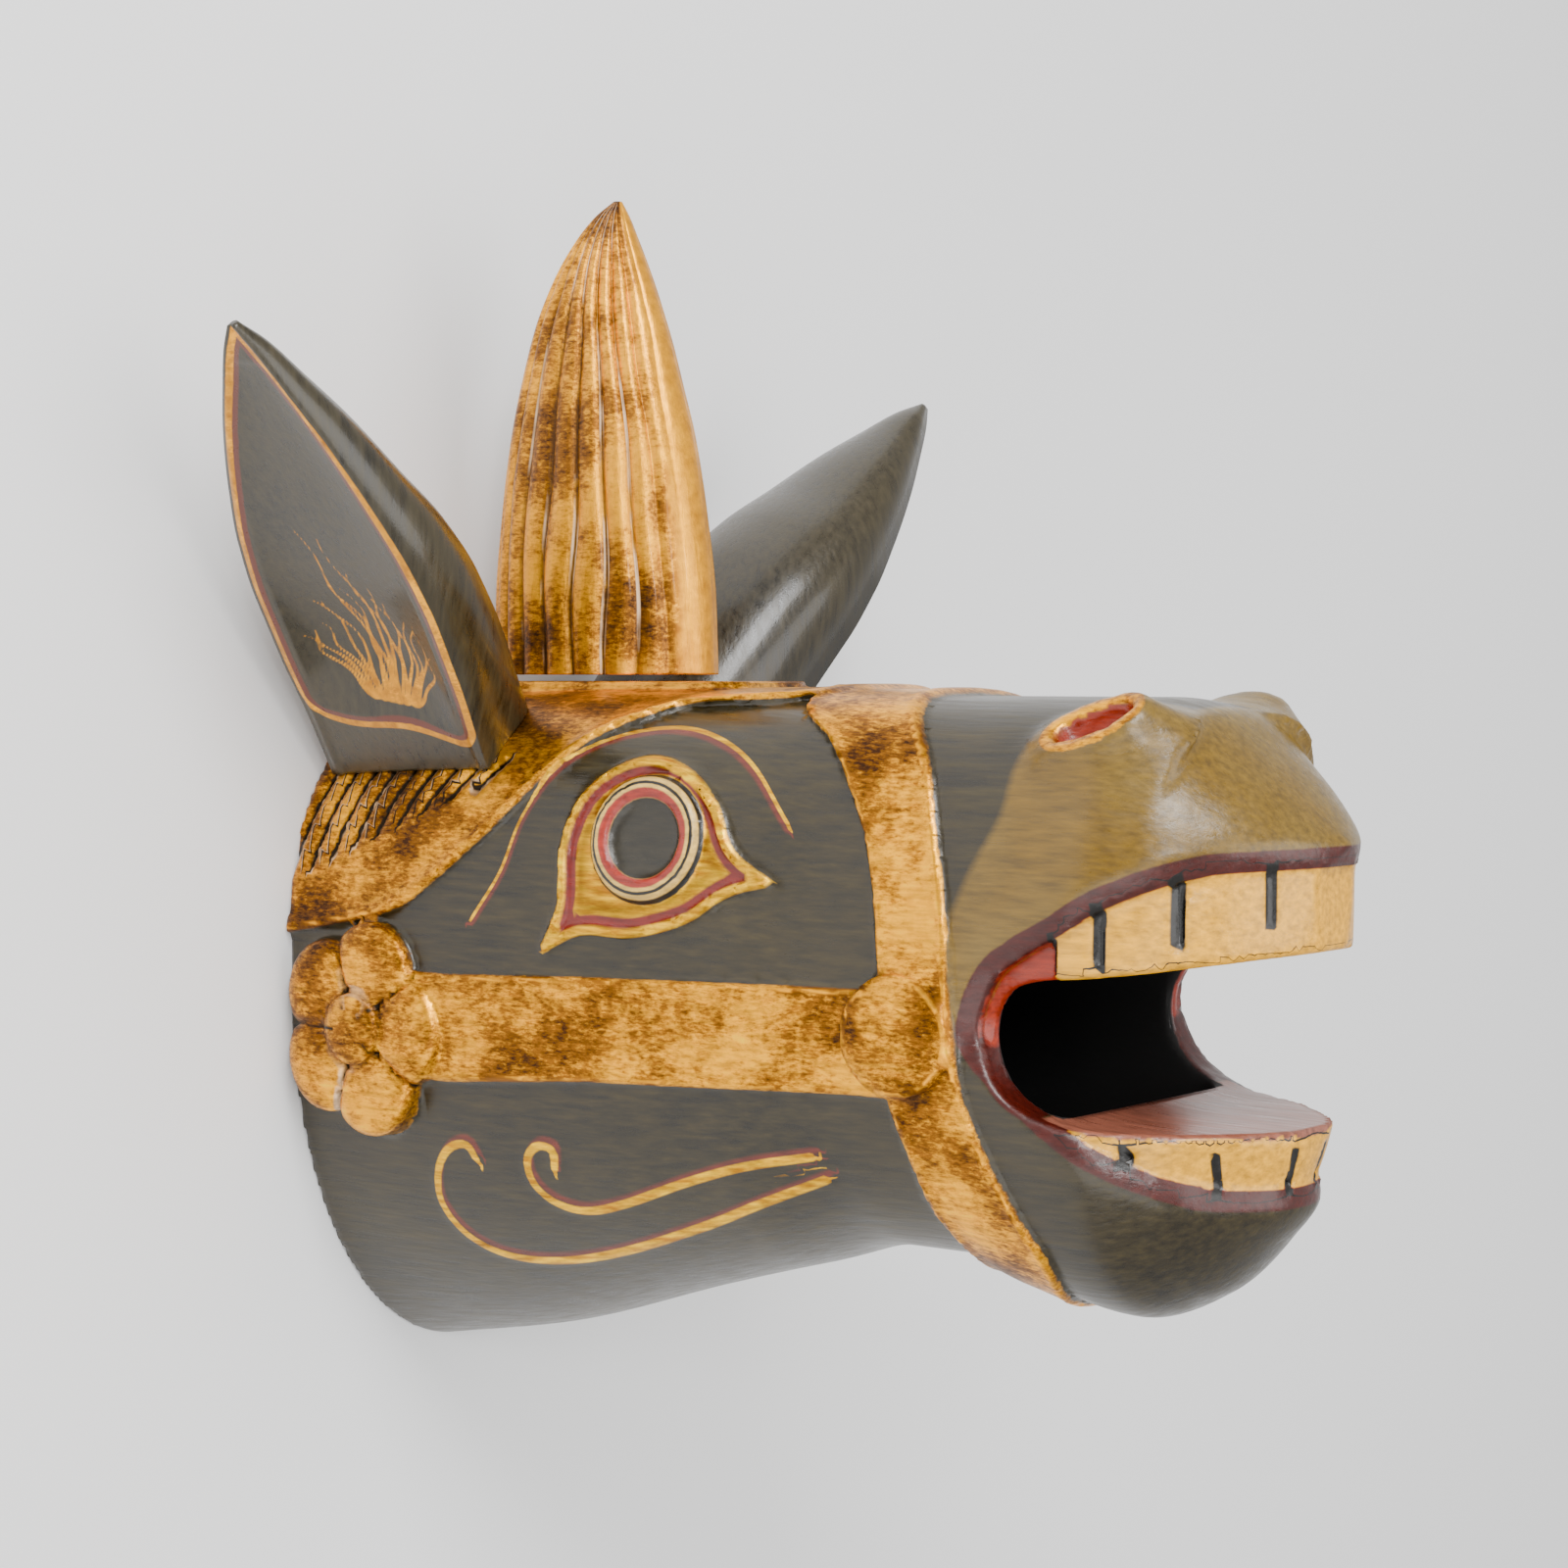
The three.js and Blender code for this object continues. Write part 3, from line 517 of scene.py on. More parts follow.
def head_paint(points):
    """Distances in millimetres: below zero where a colour lies, or zero along the middle of a line."""
    x, y, z = points.T
    side = np.abs(y)
    skin = skin_distance(x, y, z)
    ex, ey, _ = local(x, y, z, EYE["at"], EYE_AXES)
    ring = np.hypot(ex, ey)
    na, nb, nc = local(x, y, z, NOSTRIL["at"], NOSTRIL_AXES)
    nostril = (np.hypot(na / NOSTRIL["stretch"], nb) - 11.6) * 1.2
    almond = outline_distance(x, z, ALMOND)
    gums = outline_distance(x, z, GUMS)
    gap = outline_distance(x, z, MOUTH_GAP)
    teeth = teeth_distance(x, y, z)
    petals, gaps, away = flower_petals(x, z)
    straps = halter_distance(x, z)
    crest = outline_distance(x, z, CREST)
    from_boss = np.hypot(x - BOSS["x"], z - BOSS["z"]) - BOSS["radius"]
    plate = np.maximum(np.maximum(side - 26.5, 20.0 - x), x - 146.0) + np.where(z > 228.5, 0.0, 40.0)
    outside = skin + 6.0
    brow = line_distance(x, z, BROW, signed=True)
    scroll = nearest([line_distance(x, z, line, signed=True) for line in SCROLLS])
    shade = nearest([line_distance(x, z, line + np.array([1.7, 2.2]), signed=True) for line in SCROLLS])
    plain = np.where((straps < 0.3) | (from_boss < 0.3) | (skin < -3.0), FAR_OFF, 0.0)
    bowl = (np.hypot(na / 13.5, nb / 6.8) - 1) * 8.0
    gold = np.minimum.reduce([straps, crest, petals, from_boss, plate, np.maximum(nostril, -bowl)])
    wall = np.where(z > 108.5, np.maximum(np.abs(gap) - 1.8, -(skin + WALL + 1.0)), FAR_OFF)
    floor = np.where(z < 120, np.maximum(np.maximum(np.abs(gap) - 2.2, z - 108.5), skin + 5.4), FAR_OFF)
    grooves = nearest([line_distance(x, z, groove, signed=True) for groove in MANE_GROOVES])
    grooves = np.where(crest < -5.0, grooves, FAR_OFF)
    round_heart = np.where(petals < 0, np.abs(away - 12.8), FAR_OFF)
    between = np.minimum(np.where(petals < 2, gaps, FAR_OFF), round_heart)
    arches = np.where((gums < 3.0) & (skin < -1.0) & (gap > 1.4), teeth, FAR_OFF)
    lines, shades = nearest([scroll, brow * 2.4]) + plain, nearest([shade, (brow + 1.1) * 1.3]) + plain
    strokes = nearest([grooves, between])
    snout_top = np.where(z > 200, -np.maximum(side - 17, x - 313), -FAR_OFF)
    return {
        "tan": np.maximum(outline_distance(x, z, MUZZLE), snout_top),
        "gold": np.maximum(gold, -outside), "almond": almond, "ring": ring,
        "line": lines, "line_reach": np.abs(lines), "shade": shades, "shade_reach": np.abs(shades),
        "maroon": np.minimum(np.maximum(gums - 6.0, -outside), wall),
        "red": np.minimum(np.maximum(gums, skin + 2.6), np.where(nc < 3.0, bowl, FAR_OFF)),
        "tooth": np.maximum(teeth, np.maximum(np.maximum(gums, skin + 3.0), -(skin + 15.0))),
        "arch": arches, "floor": floor, "hollow": np.maximum(skin + WALL - 1.2, x - CAVITY_END - 1.0),
        "groove": strokes, "groove_reach": np.abs(strokes),
        "edge": np.minimum.reduce([np.abs(straps + 1.2), np.abs(crest + 1.6), np.abs(from_boss + 1.4)]),
    }


print("paint distances reach", PAINT_REACH, "mm")

# %% Mesh objects with paint attributes
def set_in_frame(name, mesh, paint, node):
    """An object for a finished mesh, with its paint distances and its place in the frame."""
    mesh.polygons.foreach_set("use_smooth", np.ones(len(mesh.polygons), bool))
    for key, values in paint.items():
        layer = mesh.attributes.new(key, "FLOAT", "POINT")
        layer.data.foreach_set("value", np.clip(values, -PAINT_REACH, PAINT_REACH).astype(np.float32))
    piece = bpy.data.objects.new(name, mesh)
    bpy.context.collection.objects.link(piece)
    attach(piece, "root")
    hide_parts(node)
    print(name, len(mesh.vertices), "vertices", len(mesh.polygons), "faces")
    return piece


def make_piece(name, points, faces, paint, node):
    """A smooth-shaded piece from points in the horse's frame and faces that all have as many corners."""
    faces = np.asarray(faces)
    mesh = bpy.data.meshes.new(name)
    mesh.vertices.add(len(points))
    mesh.vertices.foreach_set("co", to_row(points).astype(np.float32).ravel())
    corners = faces.shape[1]
    mesh.loops.add(faces.size)
    mesh.loops.foreach_set("vertex_index", faces.astype(np.int32).ravel())
    mesh.polygons.add(len(faces))
    mesh.polygons.foreach_set("loop_start", np.arange(0, faces.size, corners, dtype=np.int32))
    mesh.update(calc_edges=True)
    return set_in_frame(name, mesh, paint, node)


head = make_piece("carved_head", head_points, head_quads, head_paint(head_points), "head")

# %% [markdown]
# ## Ears
#
# Each ear is one leaf of wood: a flat outward face with a hollow scooped low in it, straight flanks and a
# rounded keel behind. The face is outlined in gold with a red-brown line inside, and a fan of gold flames
# rises from the hollow. The foot is cut to the crown.

# %% Ear shape
EAR_BASE, EAR_TIP = np.array([43.0, -62.0, 194.0]), np.array([79.0, -177.0, 340.0])
EAR_PROFILE = np.array([  # share of the length, half-width, height of the flank, full thickness
    [0, 37, 15, 40], [0.14, 37, 16, 42], [0.3, 38.5, 16, 42], [0.42, 38.5, 15, 40], [0.54, 36, 13, 35],
    [0.66, 30, 10, 27], [0.78, 22, 7.5, 20], [0.88, 13.5, 5, 13], [0.95, 7, 3.5, 8], [1, 1.2, 1, 2.5],
])
EAR_LENGTH = np.linalg.norm(EAR_TIP - EAR_BASE)
ear_axis = (EAR_TIP - EAR_BASE) / EAR_LENGTH
ear_wide = np.array([1.0, 0, 0]) - ear_axis * ear_axis[0]
ear_wide /= np.linalg.norm(ear_wide)
ear_inward = np.cross(ear_axis, ear_wide)
ear_inward *= np.sign(ear_inward[2])
ear_curves = [monotone(EAR_PROFILE[:, 0], EAR_PROFILE[:, k]) for k in (1, 2, 3)]
FACE_STEPS, BACK_STEPS, EAR_ROWS = 90, 70, 190
EAR_FOOT = 0.145  # share of the length where the outward face meets the crown


def ear_point(share, turn):
    """(across, depth) in mm at a share of the length and a turn round the section, 0 to 2.

    Turn 0 to 1 crosses the face with its hollow; turn 1 to 2 goes back over the keel,
    u = w cos(a), v = flank + (thickness - flank) sin(a)^0.9.
    """
    width, flank, thick = [curve(share) for curve in ear_curves]
    across = np.clip(-1 + 2 * turn, -1, 1) * width
    low = np.clip((share - EAR_FOOT - 0.045) / 0.10, 0, 1)
    opening = low ** 0.6 * np.clip((0.93 - share) / 0.5, 0, 1) ** 0.5
    scoop = (1 - np.clip(np.abs(across) / (0.80 * width), 0, 1) ** 2.5) * opening
    hollow = (3.0 + 6.5 * np.exp(-((share - 0.33) / 0.15) ** 2)) * scoop
    lip = 0.7 * np.exp(-((np.abs(across) - 0.9 * width) / 1.6) ** 2)
    angle = math.pi * np.clip(turn - 1, 0, 1)
    back = flank + (thick - flank) * np.sin(angle) ** 0.9
    face = turn < 1
    return np.where(face, across, np.cos(angle) * width), np.where(face, hollow - lip, back)


def ear_place(share, turn, mirrored):
    """Positions of an ear's points in the horse's frame."""
    across, depth = ear_point(share, turn)
    p = EAR_BASE + share[..., None] * EAR_LENGTH * ear_axis
    p = p + across[..., None] * ear_wide + depth[..., None] * ear_inward
    return p * np.array([1, -1 if mirrored else 1, 1])


def flame_strokes():
    """Flame lines (across, along) in mm, fanned from the foot of the hollow, each with its own wave."""
    rng = np.random.default_rng(7)
    lines = []
    for k, spread in enumerate(np.linspace(-1, 1, 17)):
        height = 20 + 26 * (1 - spread ** 2) + (24 if k in (5, 8) else 0) + rng.uniform(-5, 7)
        t = np.linspace(0, 1, 18)
        sway = 2.4 * np.sin(t * rng.uniform(7, 11) + rng.uniform(0, 6)) * t ** 0.7
        lines.append(np.stack([3 + 9 * spread + spread * 17 * t ** 0.7 - 5 * t + sway, 42 + height * t], 1))
    return lines


FLAMES = flame_strokes()


def ear_paint(share, turn):
    """Gold outline, red-brown line inside it and flames, as signed distances on the face."""
    width = ear_curves[0](share)
    across, _ = ear_point(share, turn)
    along = (share - EAR_FOOT) * EAR_LENGTH
    wavy = 3.0 + 1.6 * np.sin(across / width * 4.4 + 0.6)
    edge = np.minimum(width - np.abs(across), along - wavy)
    corner = 10 - np.hypot(np.maximum(np.abs(across) - width + 10, 0), np.maximum(10 + wavy - along, 0))
    edge = np.where((np.abs(across) > width - 10) & (along < 10 + wavy), corner, edge)
    face = turn < 1.0
    gold = np.where(face, np.abs(edge - 2.6) - 1.25, FAR_OFF)
    maroon = np.where(face, np.abs(edge - 4.6) - 1.2, FAR_OFF)
    flames = np.full(across.shape, FAR_OFF)
    for line in FLAMES:
        reach = np.linspace(0.75, 0.2, len(line) - 1)
        for (ax, az), (bx, bz), thick in zip(line[:-1], line[1:], reach):
            ex, ez = bx - ax, bz - az
            t = np.clip(((across - ax) * ex + (share * EAR_LENGTH - az) * ez) / (ex * ex + ez * ez), 0, 1)
            here = np.hypot(across - ax - t * ex, share * EAR_LENGTH - az - t * ez)
            flames = np.minimum(flames, here - thick)
    return {"gold": np.minimum(gold, np.where(face, flames, FAR_OFF)).ravel(), "maroon": maroon.ravel()}


print("ear", round(float(EAR_LENGTH), 1), "mm long,", len(FLAMES), "flames")

# %% Ears cut to the crown
def foot_share(turn):
    """The share of the length at which each line along the ear leaves the crown, found by halving."""
    inside, outside = np.zeros_like(turn), np.full_like(turn, 0.45)
    for _ in range(22):
        middle = (inside + outside) / 2
        x, y, z = ear_place(middle, turn, False).T
        buried = skin_distance(x, y, z) < 2.5
        inside, outside = np.where(buried, middle, inside), np.where(buried, outside, middle)
    return outside


def grid_faces(rows, columns):
    """The quads round a tube of points, row by row."""
    r, c = np.meshgrid(np.arange(rows - 1), np.arange(columns), indexing="ij")
    n = (c + 1) % columns
    near, far = r * columns, (r + 1) * columns
    return np.stack([near + c, near + n, far + n, far + c], -1).reshape(-1, 4)


def tube_piece(name, grid, paint, node, flip):
    """A tube of points closed at both ends by short fans."""
    rows, columns = grid.shape[:2]
    points = grid.reshape(-1, 3)
    ends = np.stack([grid[0].mean(0), grid[-1].mean(0)])
    faces = grid_faces(rows, columns)
    around = np.arange(columns)
    after = (around + 1) % columns
    last = (rows - 1) * columns
    n = len(points)
    first_fan = np.stack([after, around, np.full(columns, n)], 1)
    last_fan = np.stack([last + around, last + after, np.full(columns, n + 1)], 1)
    points = np.vstack([points, ends])
    paint = {key: np.append(values, [FAR_OFF, FAR_OFF]) for key, values in paint.items()}
    mesh_faces = [tuple(f) for f in faces] + [tuple(f) for f in np.vstack([first_fan, last_fan])]
    if flip:
        mesh_faces = [f[::-1] for f in mesh_faces]
    mesh = bpy.data.meshes.new(name)
    mesh.from_pydata(to_row(points).tolist(), [], mesh_faces)
    return set_in_frame(name, mesh, paint, node)


turns = np.concatenate([np.linspace(0, 1, FACE_STEPS, endpoint=False),
                        np.linspace(1, 2, BACK_STEPS, endpoint=False)])
starts = foot_share(turns)
rows = np.linspace(0, 1, EAR_ROWS)[:, None]
ear_shares = starts[None] + (1 - starts[None]) * rows
ear_turns = np.broadcast_to(turns, ear_shares.shape)
ears = []
for ear_name, mirrored in (("ear_right", False), ("ear_left", True)):
    grid = ear_place(ear_shares, ear_turns, mirrored)
    paint = ear_paint(ear_shares, ear_turns)
    ears.append(tube_piece("carved_" + ear_name, grid, paint, ear_name, mirrored))

# %% [markdown]
# ## Forelock
#
# The forelock stands on the gilded plate like a flame. Long flutes run up it and meet at the tip, and a
# smooth strip is left down the front. The gold has been rubbed through to pale wood along the sharp edges
# between the flutes.

# %% Forelock shape
PLATE_TOP, TENON_GAP, FORELOCK_TOP = 234.5, 2.2, 398.0
FORELOCK_PROFILE = np.array([  # share of the height, centre along x, half-length, half-width
    [0, 70, 46, 25], [0.15, 69.5, 45.5, 25], [0.35, 69, 42, 23.5], [0.5, 68.5, 38, 21.5], [0.62, 68, 33, 19],
    [0.74, 68, 27, 16], [0.84, 69, 20, 12.5], [0.92, 71, 12.5, 8.5], [0.97, 73.5, 6.5, 5], [1, 76, 1.5, 1.5],
])
forelock_curves = [monotone(FORELOCK_PROFILE[:, 0], FORELOCK_PROFILE[:, k]) for k in (1, 2, 3)]
FLUTES, FLUTE_DEPTH = 11, 2.6
FORELOCK_ROWS, FORELOCK_COLUMNS = 240, 352
share, angle = np.meshgrid(np.linspace(0, 1, FORELOCK_ROWS),
                           np.linspace(0, 2 * math.pi, FORELOCK_COLUMNS, endpoint=False), indexing="ij")
centre, half_length, half_width = [curve(share) for curve in forelock_curves]
smooth_front = np.clip(np.cos(angle), 0, 1) ** 6
wander = 0.16 * np.sin(5.0 * share + 3.0 * angle) + 0.07 * np.sin(17 * share + 5 * angle)
wave = np.abs(np.sin(FLUTES * angle + wander * 2.2))
depth = FLUTE_DEPTH * (1 - smooth_front) * np.minimum(1, half_length / 25)
cut = depth * (1 - wave ** 0.7)
foot = PLATE_TOP + TENON_GAP
forelock_grid = np.stack([centre + (half_length - cut) * np.cos(angle), (half_width - cut) * np.sin(angle),
                          foot + share * (FORELOCK_TOP - foot)], -1)
forelock_paint = {"flute": (1 - wave) * (1 - smooth_front), "front": smooth_front}
forelock_paint = {key: values.ravel() for key, values in forelock_paint.items()}
forelock = tube_piece("carved_forelock", forelock_grid, forelock_paint, "forelock", True)

# %% [markdown]
# ## Finishes
#
# Four finishes cover the wood: dark brushed lacquer, warm glaze on the muzzle, gold leaf with a brown toning
# rubbed into it, and brush-painted enamel. Pattern sizes are in millimetres of the real surface.


# %% Node helpers
def linear(code):
    """Linear RGB of an sRGB hex code: c / 12.92 below 0.04045, else ((c + 0.055) / 1.055)^2.4."""
    values = [int(code[i:i + 2], 16) / 255 for i in (1, 3, 5)]
    return [v / 12.92 if v <= 0.04045 else ((v + 0.055) / 1.055) ** 2.4 for v in values] + [1.0]


class Sheet:
    """A material's node tree, with one short call per node."""

    def __init__(self, name):
        self.material = bpy.data.materials.new(name)
        self.material.use_nodes = True
        self.tree = self.material.node_tree
        self.tree.nodes.clear()
        self.place = self.node("ShaderNodeTexCoord").outputs["Object"]
        self.read = {}

    def node(self, kind, settings=None, **inputs):
        """Adds a node; inputs are values or sockets, named by their label or by index as i0, i1 ..."""
        made = self.tree.nodes.new(kind)
        for key, value in (settings or {}).items():
            setattr(made, key, value)
        for key, value in inputs.items():
            socket = made.inputs[int(key[1:])] if key[0] == "i" and key[1:].isdigit() else made.inputs[
                key.replace("_", " ")]
            if isinstance(value, bpy.types.NodeSocket):
                self.tree.links.new(value, socket)
            else:
                socket.default_value = value
        return made

    def math(self, operation, a, b=0.0):
        return self.node("ShaderNodeMath", {"operation": operation}, i0=a, i1=b).outputs[0]

    def attribute(self, name):
        """An attribute's value, read once for the whole material."""
        if name not in self.read:
            self.read[name] = self.node("ShaderNodeAttribute", {"attribute_name": name}).outputs["Fac"]
        return self.read[name]

    def mix(self, factor, a, b):
        made = self.node("ShaderNodeMix", {"data_type": "RGBA"}, i0=factor, i6=a, i7=b)
        return made.outputs[2]

    def blend(self, factor, a, b):
        made = self.node("ShaderNodeMix", {"data_type": "FLOAT"}, i0=factor, i2=a, i3=b)
        return made.outputs[0]

    def noise(self, scale, stretch=(1, 1, 1), detail=3.0, roughness=0.55):
        """Noise with features of 1 / scale metres, drawn out along an axis by a smaller stretch."""
        mapped = self.place
        if stretch != (1, 1, 1):
            mapped = self.node("ShaderNodeMapping", None, i0=self.place, i3=stretch).outputs[0]
        return self.node("ShaderNodeTexNoise", None, Vector=mapped, Scale=scale, Detail=detail,
                         Roughness=roughness).outputs["Fac"]

    def window(self, value, start, end, low=0.0, high=1.0):
        """Straight-line change from low to high as value goes from start to end."""
        return self.node("ShaderNodeMapRange", None, i0=value, i1=start, i2=end, i3=low, i4=high).outputs[0]

    def inside(self, name, soft=0.35, shift=None):
        """1 where a paint distance is below zero, with a brushed edge."""
        value = self.attribute(name)
        if shift is not None:
            value = self.math("ADD", value, shift)
        return self.window(value, soft, -soft)

    def band(self, name, centre, half, soft=0.2, shift=None):
        """1 where an attribute is within half of centre."""
        value = self.attribute(name)
        if shift is not None:
            value = self.math("ADD", value, shift)
        away = self.math("ABSOLUTE", self.math("SUBTRACT", value, centre))
        return self.window(away, half + soft, half - soft)

    def stroke(self, name, centre, half, soft=0.2, shift=None):
        """A band kept to the line itself, because the sign of the distance flips beyond the line's ends."""
        near = self.window(self.attribute(name + "_reach"), 4.2, 3.2)
        return self.math("MULTIPLY", self.band(name, centre, half, soft, shift), near)

    def finish(self, colour, metallic, roughness, bump, bump_size, coat=0.0):
        surface = self.node("ShaderNodeBump", None, Strength=0.6, Distance=bump_size, Height=bump).outputs[0]
        shader = self.node("ShaderNodeBsdfPrincipled", None, i0=colour, Metallic=metallic,
                           Roughness=roughness, Normal=surface, Coat_Weight=coat, Coat_Roughness=0.12)
        output = self.node("ShaderNodeOutputMaterial")
        self.tree.links.new(shader.outputs[0], output.inputs[0])
        return self.material


def gold_colour(sheet, brightening):
    """Gold leaf toned with brown: bright where worn is 1, with grain and dark specks."""
    cloud = sheet.noise(34, detail=4)
    grain = sheet.noise(900, (1, 1, 0.35), detail=4, roughness=0.7)
    tone = sheet.math("ADD", sheet.math("MULTIPLY", cloud, 1.1), sheet.math("MULTIPLY", grain, 0.7))
    tone = sheet.window(tone, 0.66, 1.04)
    tone = sheet.math("MAXIMUM", tone, brightening)
    deep = sheet.mix(tone, linear("#3a1c00"), linear("#c27800"))
    bright = sheet.window(sheet.math("ADD", tone, sheet.noise(260, detail=3)), 0.95, 1.6)
    return sheet.mix(bright, deep, linear("#ffb000")), tone


print("gold leaf, linear", [round(value, 3) for value in linear("#c27800")[:3]])

# %% The head's material
def head_material():
    """Lacquer, then glaze, gold, enamel colours and black lines, one over another."""
    s = Sheet("lacquered_gilded_carved_wood")
    wobble = s.math("MULTIPLY", s.math("SUBTRACT", s.noise(240, detail=2), 0.5), 0.6)
    streaks = s.noise(420, (1, 1, 0.09), detail=4, roughness=0.6)
    clouds = s.noise(16, detail=3)
    dark = s.mix(s.window(streaks, 0.35, 0.7), linear("#1a1406"), linear("#332a10"))
    dark = s.mix(s.window(clouds, 0.4, 0.75, 0.0, 0.5), dark, linear("#3c3216"))
    glaze = s.mix(s.window(clouds, 0.38, 0.62), linear("#654a04"), linear("#6f5822"))
    colour = s.mix(s.inside("tan", 1.5, wobble), dark, glaze)
    colour = s.mix(s.stroke("shade", 0.0, 1.1, 0.6), colour, linear("#5e1f10"))
    # Painted highlight: the gold is made brighter along the beads just inside the edges of the straps, crest
    # and boss.
    brightening = s.window(s.attribute("edge"), 1.5, 0.2, 0.0, 0.95)
    gold, tone = gold_colour(s, brightening)
    pale = s.math("MULTIPLY", s.stroke("groove", 1.0, 0.7, 0.3, wobble), s.window(clouds, 0.4, 0.5))
    gold = s.mix(pale, gold, linear("#d5b088"))
    gold = s.mix(s.stroke("groove", -0.2, 0.9, 0.4, wobble), gold, linear("#1e1302"))
    gilded = s.inside("gold", 0.25, wobble)
    colour = s.mix(gilded, colour, gold)
    lines = s.math("MAXIMUM", s.stroke("line", 0.0, 1.35, 0.25), s.inside("almond", 0.25))
    colour = s.mix(lines, colour, s.mix(s.window(streaks, 0.35, 0.65), linear("#b97a04"), linear("#ffc511")))
    metal = s.math("MAXIMUM", gilded, lines)
    ring = s.attribute("ring")
    eye_edge = s.window(ring, 20.4, 21.2)
    shaded = s.math("MULTIPLY", s.band("almond", -8.6, 2.2, 1.8), eye_edge)
    colour = s.mix(s.math("MULTIPLY", shaded, 0.5), colour, linear("#3a1d04"))
    enamel = [
        (s.inside("maroon", 0.3, wobble), "#3f0d05"), (s.inside("red", 0.3, wobble), "#8c2406"),
        (s.inside("tooth", 0.2), "#d89a10"), (s.inside("floor", 0.3, wobble), "#87503e"),
        (s.math("MULTIPLY", s.band("almond", -4.6, 1.6, 0.4), eye_edge), "#6e160c"),
        (s.window(ring, 20.6, 20.2), "#d0a850"), (s.band("ring", 20.0, 0.55, 0.15), "#15110a"),
        (s.band("ring", 17.5, 0.5, 0.15), "#15110a"), (s.band("ring", 14.3, 1.5, 0.25), "#94281a"),
        (s.band("arch", 0.0, 1.15, 0.25), "#0c0a07"), (s.window(ring, 13.0, 12.6), "#252013"),
    ]
    for cover, code in enamel:
        colour = s.mix(cover, colour, linear(code))
        metal = s.math("MULTIPLY", metal, s.math("SUBTRACT", 1.0, cover))
    brushed = s.window(s.noise(520, (1, 1, 0.12), detail=4, roughness=0.6), 0.3, 0.7, 0.62, 1.3)
    shade = s.node("ShaderNodeCombineColor", None, i0=brushed, i1=brushed, i2=brushed).outputs[0]
    colour = s.node("ShaderNodeMix", {"data_type": "RGBA", "blend_type": "MULTIPLY"}, i0=1.0, i6=colour,
                    i7=shade).outputs[2]
    # Painted shade: the black inside of the hollow is coloured near-black, darker than the black paint lines.
    hollow = s.inside("hollow", 0.4)
    colour = s.mix(hollow, colour, linear("#060504"))
    roughness = s.blend(metal, s.window(streaks, 0.3, 0.7, 0.24, 0.4), s.window(tone, 0.0, 1.0, 0.5, 0.3))
    roughness = s.blend(hollow, roughness, 0.8)
    return s.finish(colour, s.math("MULTIPLY", metal, 0.88), roughness, streaks, 0.0003, coat=0.06)


head.data.materials.append(head_material())
print("head finish", head.data.materials[0].name)


# %% The ears' material
def ear_material():
    """Brushed dark lacquer with the gold outline, red-brown line and flames."""
    s = Sheet("lacquered_painted_carved_wood")
    wobble = s.math("MULTIPLY", s.math("SUBTRACT", s.noise(260, detail=2), 0.5), 0.6)
    streaks = s.noise(420, (1, 0.12, 1), detail=4, roughness=0.6)
    dark = s.mix(s.window(streaks, 0.35, 0.7), linear("#1d190e"), linear("#39321f"))
    dark = s.mix(s.window(s.noise(16, detail=3), 0.4, 0.75, 0.0, 0.5), dark, linear("#3c3216"))
    colour = s.mix(s.inside("maroon", 0.3, wobble), dark, linear("#5e2410"))
    gold, _ = gold_colour(s, 0.7)
    gilded = s.inside("gold", 0.2, wobble)
    colour = s.mix(gilded, colour, gold)
    bump = s.math("ADD", s.math("MULTIPLY", streaks, 0.6), s.math("MULTIPLY", s.noise(1400, detail=2), 0.3))
    roughness = s.blend(gilded, s.window(streaks, 0.3, 0.7, 0.24, 0.4), 0.4)
    return s.finish(colour, s.math("MULTIPLY", gilded, 0.6), roughness, bump, 0.00035, coat=0.25)


ear_finish = ear_material()
for ear in ears:
    ear.data.materials.append(ear_finish)
print("ear finish", ear_finish.name)


# %% The forelock's material
def forelock_material():
    """Toned gold leaf, brown in the flutes and rubbed through to pale wood along some of their edges."""
    s = Sheet("gilded_fluted_carved_wood")
    front = s.window(s.attribute("front"), 0.3, 0.7)
    gold, tone = gold_colour(s, s.math("MULTIPLY", front, 0.9))
    flute = s.attribute("flute")
    gold = s.mix(s.window(flute, 0.55, 0.95, 0.0, 0.85), gold, linear("#3c2203"))
    wear = s.math("MULTIPLY", s.window(s.math("ABSOLUTE", s.math("SUBTRACT", flute, 0.8)), 0.12, 0.03),
                  s.window(s.noise(70, (1, 0.3, 1), detail=3), 0.5, 0.62))
    colour = s.mix(wear, gold, linear("#d8b48c"))
    metal = s.math("MULTIPLY", s.math("SUBTRACT", 1.0, wear), 0.75)
    fine = s.math("MULTIPLY", s.noise(1500, detail=2), 0.3)
    bump = s.math("ADD", s.noise(700, (1, 0.2, 1), detail=4), fine)
    return s.finish(colour, metal, s.window(tone, 0.0, 1.0, 0.52, 0.36), bump, 0.0004, coat=0.15)


forelock.data.materials.append(forelock_material())
print("forelock finish", forelock.data.materials[0].name)

# %% [markdown]
# ## Floor, light and camera
#
# The mask lies on its back rim on a plain pale floor. The camera looks down on it from the horse's right,
# with the crown at the top of the picture, as the photograph shows it.

# %% Floor and lights
floor_mesh = bpy.data.meshes.new("floor")
FLOOR_HALF = 12.0
floor_corners = [(a * FLOOR_HALF, b * FLOOR_HALF, 0) for a, b in ((-1, -1), (1, -1), (1, 1), (-1, 1))]
floor_mesh.from_pydata(floor_corners, [], [(0, 1, 2, 3)])
floor = bpy.data.objects.new("floor", floor_mesh)
bpy.context.collection.objects.link(floor)
paper = Sheet("matt_pale_studio_floor")
paper_shader = paper.node("ShaderNodeBsdfPrincipled", None, i0=linear("#efefef"), Roughness=0.9)
paper.tree.links.new(paper_shader.outputs[0], paper.node("ShaderNodeOutputMaterial").inputs[0])
floor.data.materials.append(paper.material)


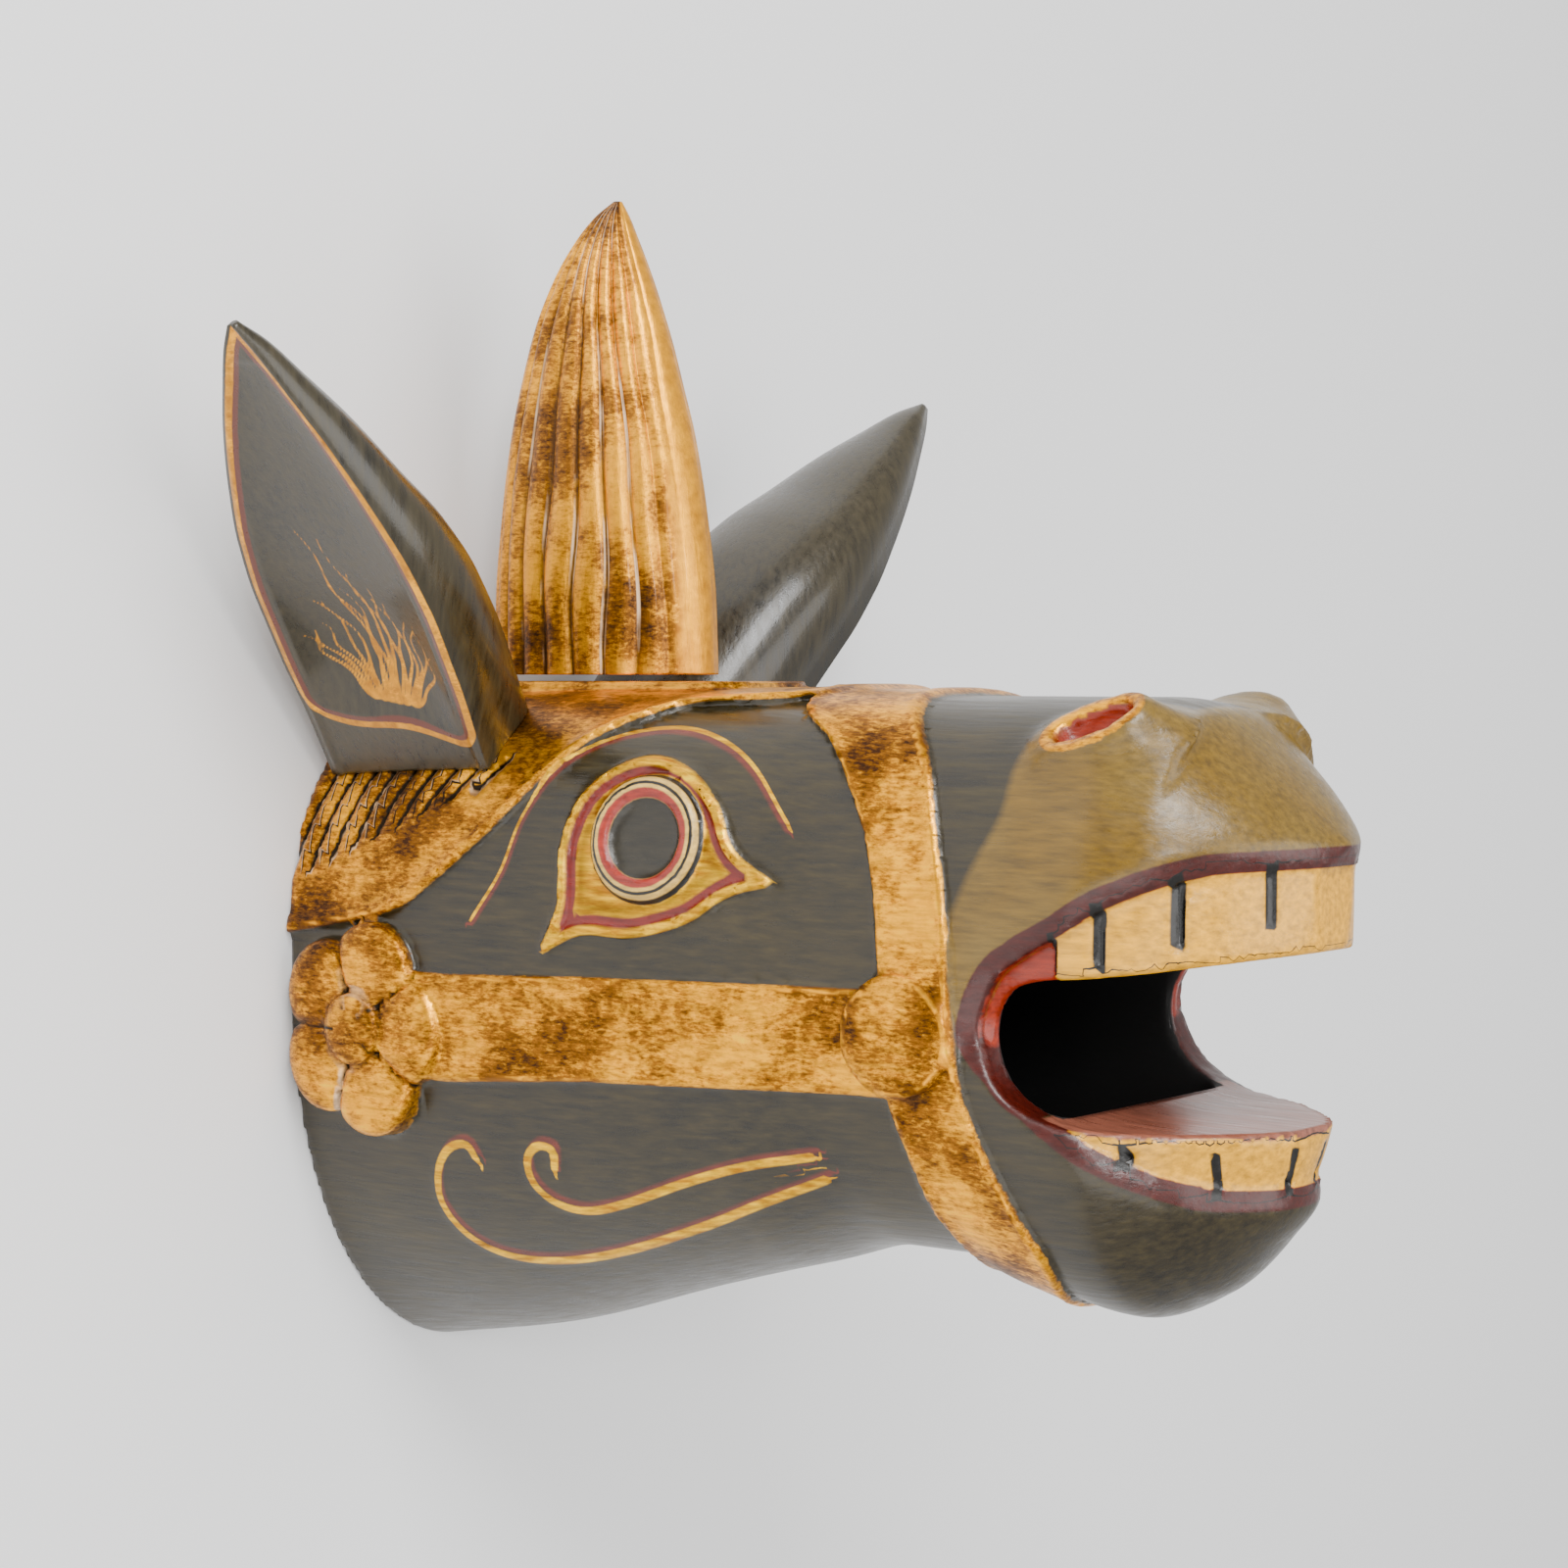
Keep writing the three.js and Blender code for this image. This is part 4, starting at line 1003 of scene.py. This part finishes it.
def add_light(name, place, target, size, power):
    """A square soft light, in metres and watts, turned to face its target."""
    light = bpy.data.lights.new(name, "AREA")
    light.shape = "SQUARE"
    light.size = size
    light.energy = power
    lamp = bpy.data.objects.new(name, light)
    lamp.location = place
    lamp.rotation_euler = (Vector(target) - Vector(place)).to_track_quat("-Z", "Y").to_euler()
    bpy.context.collection.objects.link(lamp)


add_light("key_softbox", (1.0, -1.6, 1.4), (0, 0, 0.15), 0.9, 48)
add_light("strip_softbox", (1.5, -0.5, 1.7), (0, 0, 0.25), 0.4, 12)
add_light("fill_softbox", (1.8, 0.9, 1.0), (0, 0, 0.15), 1.6, 18)
add_light("top_softbox", (0.0, 0.0, 2.4), (0, 0, 0.15), 1.8, 34)
world = bpy.data.worlds.new("pale_room")
world.use_nodes = True
world.node_tree.nodes["Background"].inputs[0].default_value = linear("#f2f2f2")
world.node_tree.nodes["Background"].inputs[1].default_value = 0.85
bpy.context.scene.world = world
print("floor", 2 * FLOOR_HALF, "m wide")

# %% Camera at the photograph's viewing angle
TURN, DIP, FAR, FOCAL_PX = math.radians(38.0), math.atan2(110.0, 3100.0), 1000.0, 3100.0
AIM = np.array([148.0, 0.0, 236.17 - FAR * math.sin(DIP)])  # the point 1 m in front of the camera
right = np.array([math.cos(TURN), math.sin(TURN), 0.0])
forward = np.array([-math.sin(TURN) * math.cos(DIP), math.cos(TURN) * math.cos(DIP), -math.sin(DIP)])
upward = np.cross(right, forward)
eye_place = AIM - FAR * forward


def turn_to_row(direction):
    """A direction of the horse's frame in the row frame."""
    return Vector((-direction[1], -direction[2], direction[0]))


camera_data = bpy.data.cameras.new("photo_camera")
camera_data.sensor_width = 36.0
camera_data.lens = 36.0 * FOCAL_PX / 1600.0
camera_data.dof.use_dof = False
camera = bpy.data.objects.new("photo_camera", camera_data)
axes_row = [turn_to_row(right), turn_to_row(upward), -turn_to_row(forward)]
camera.matrix_world = Matrix([
    [axes_row[0][k], axes_row[1][k], axes_row[2][k], float(to_row(eye_place[None])[0][k])] for k in range(3)
] + [[0, 0, 0, 1]])
bpy.context.collection.objects.link(camera)
bpy.context.scene.camera = camera
print("camera at", [round(v, 3) for v in camera.location], "lens", round(camera_data.lens, 2), "mm")
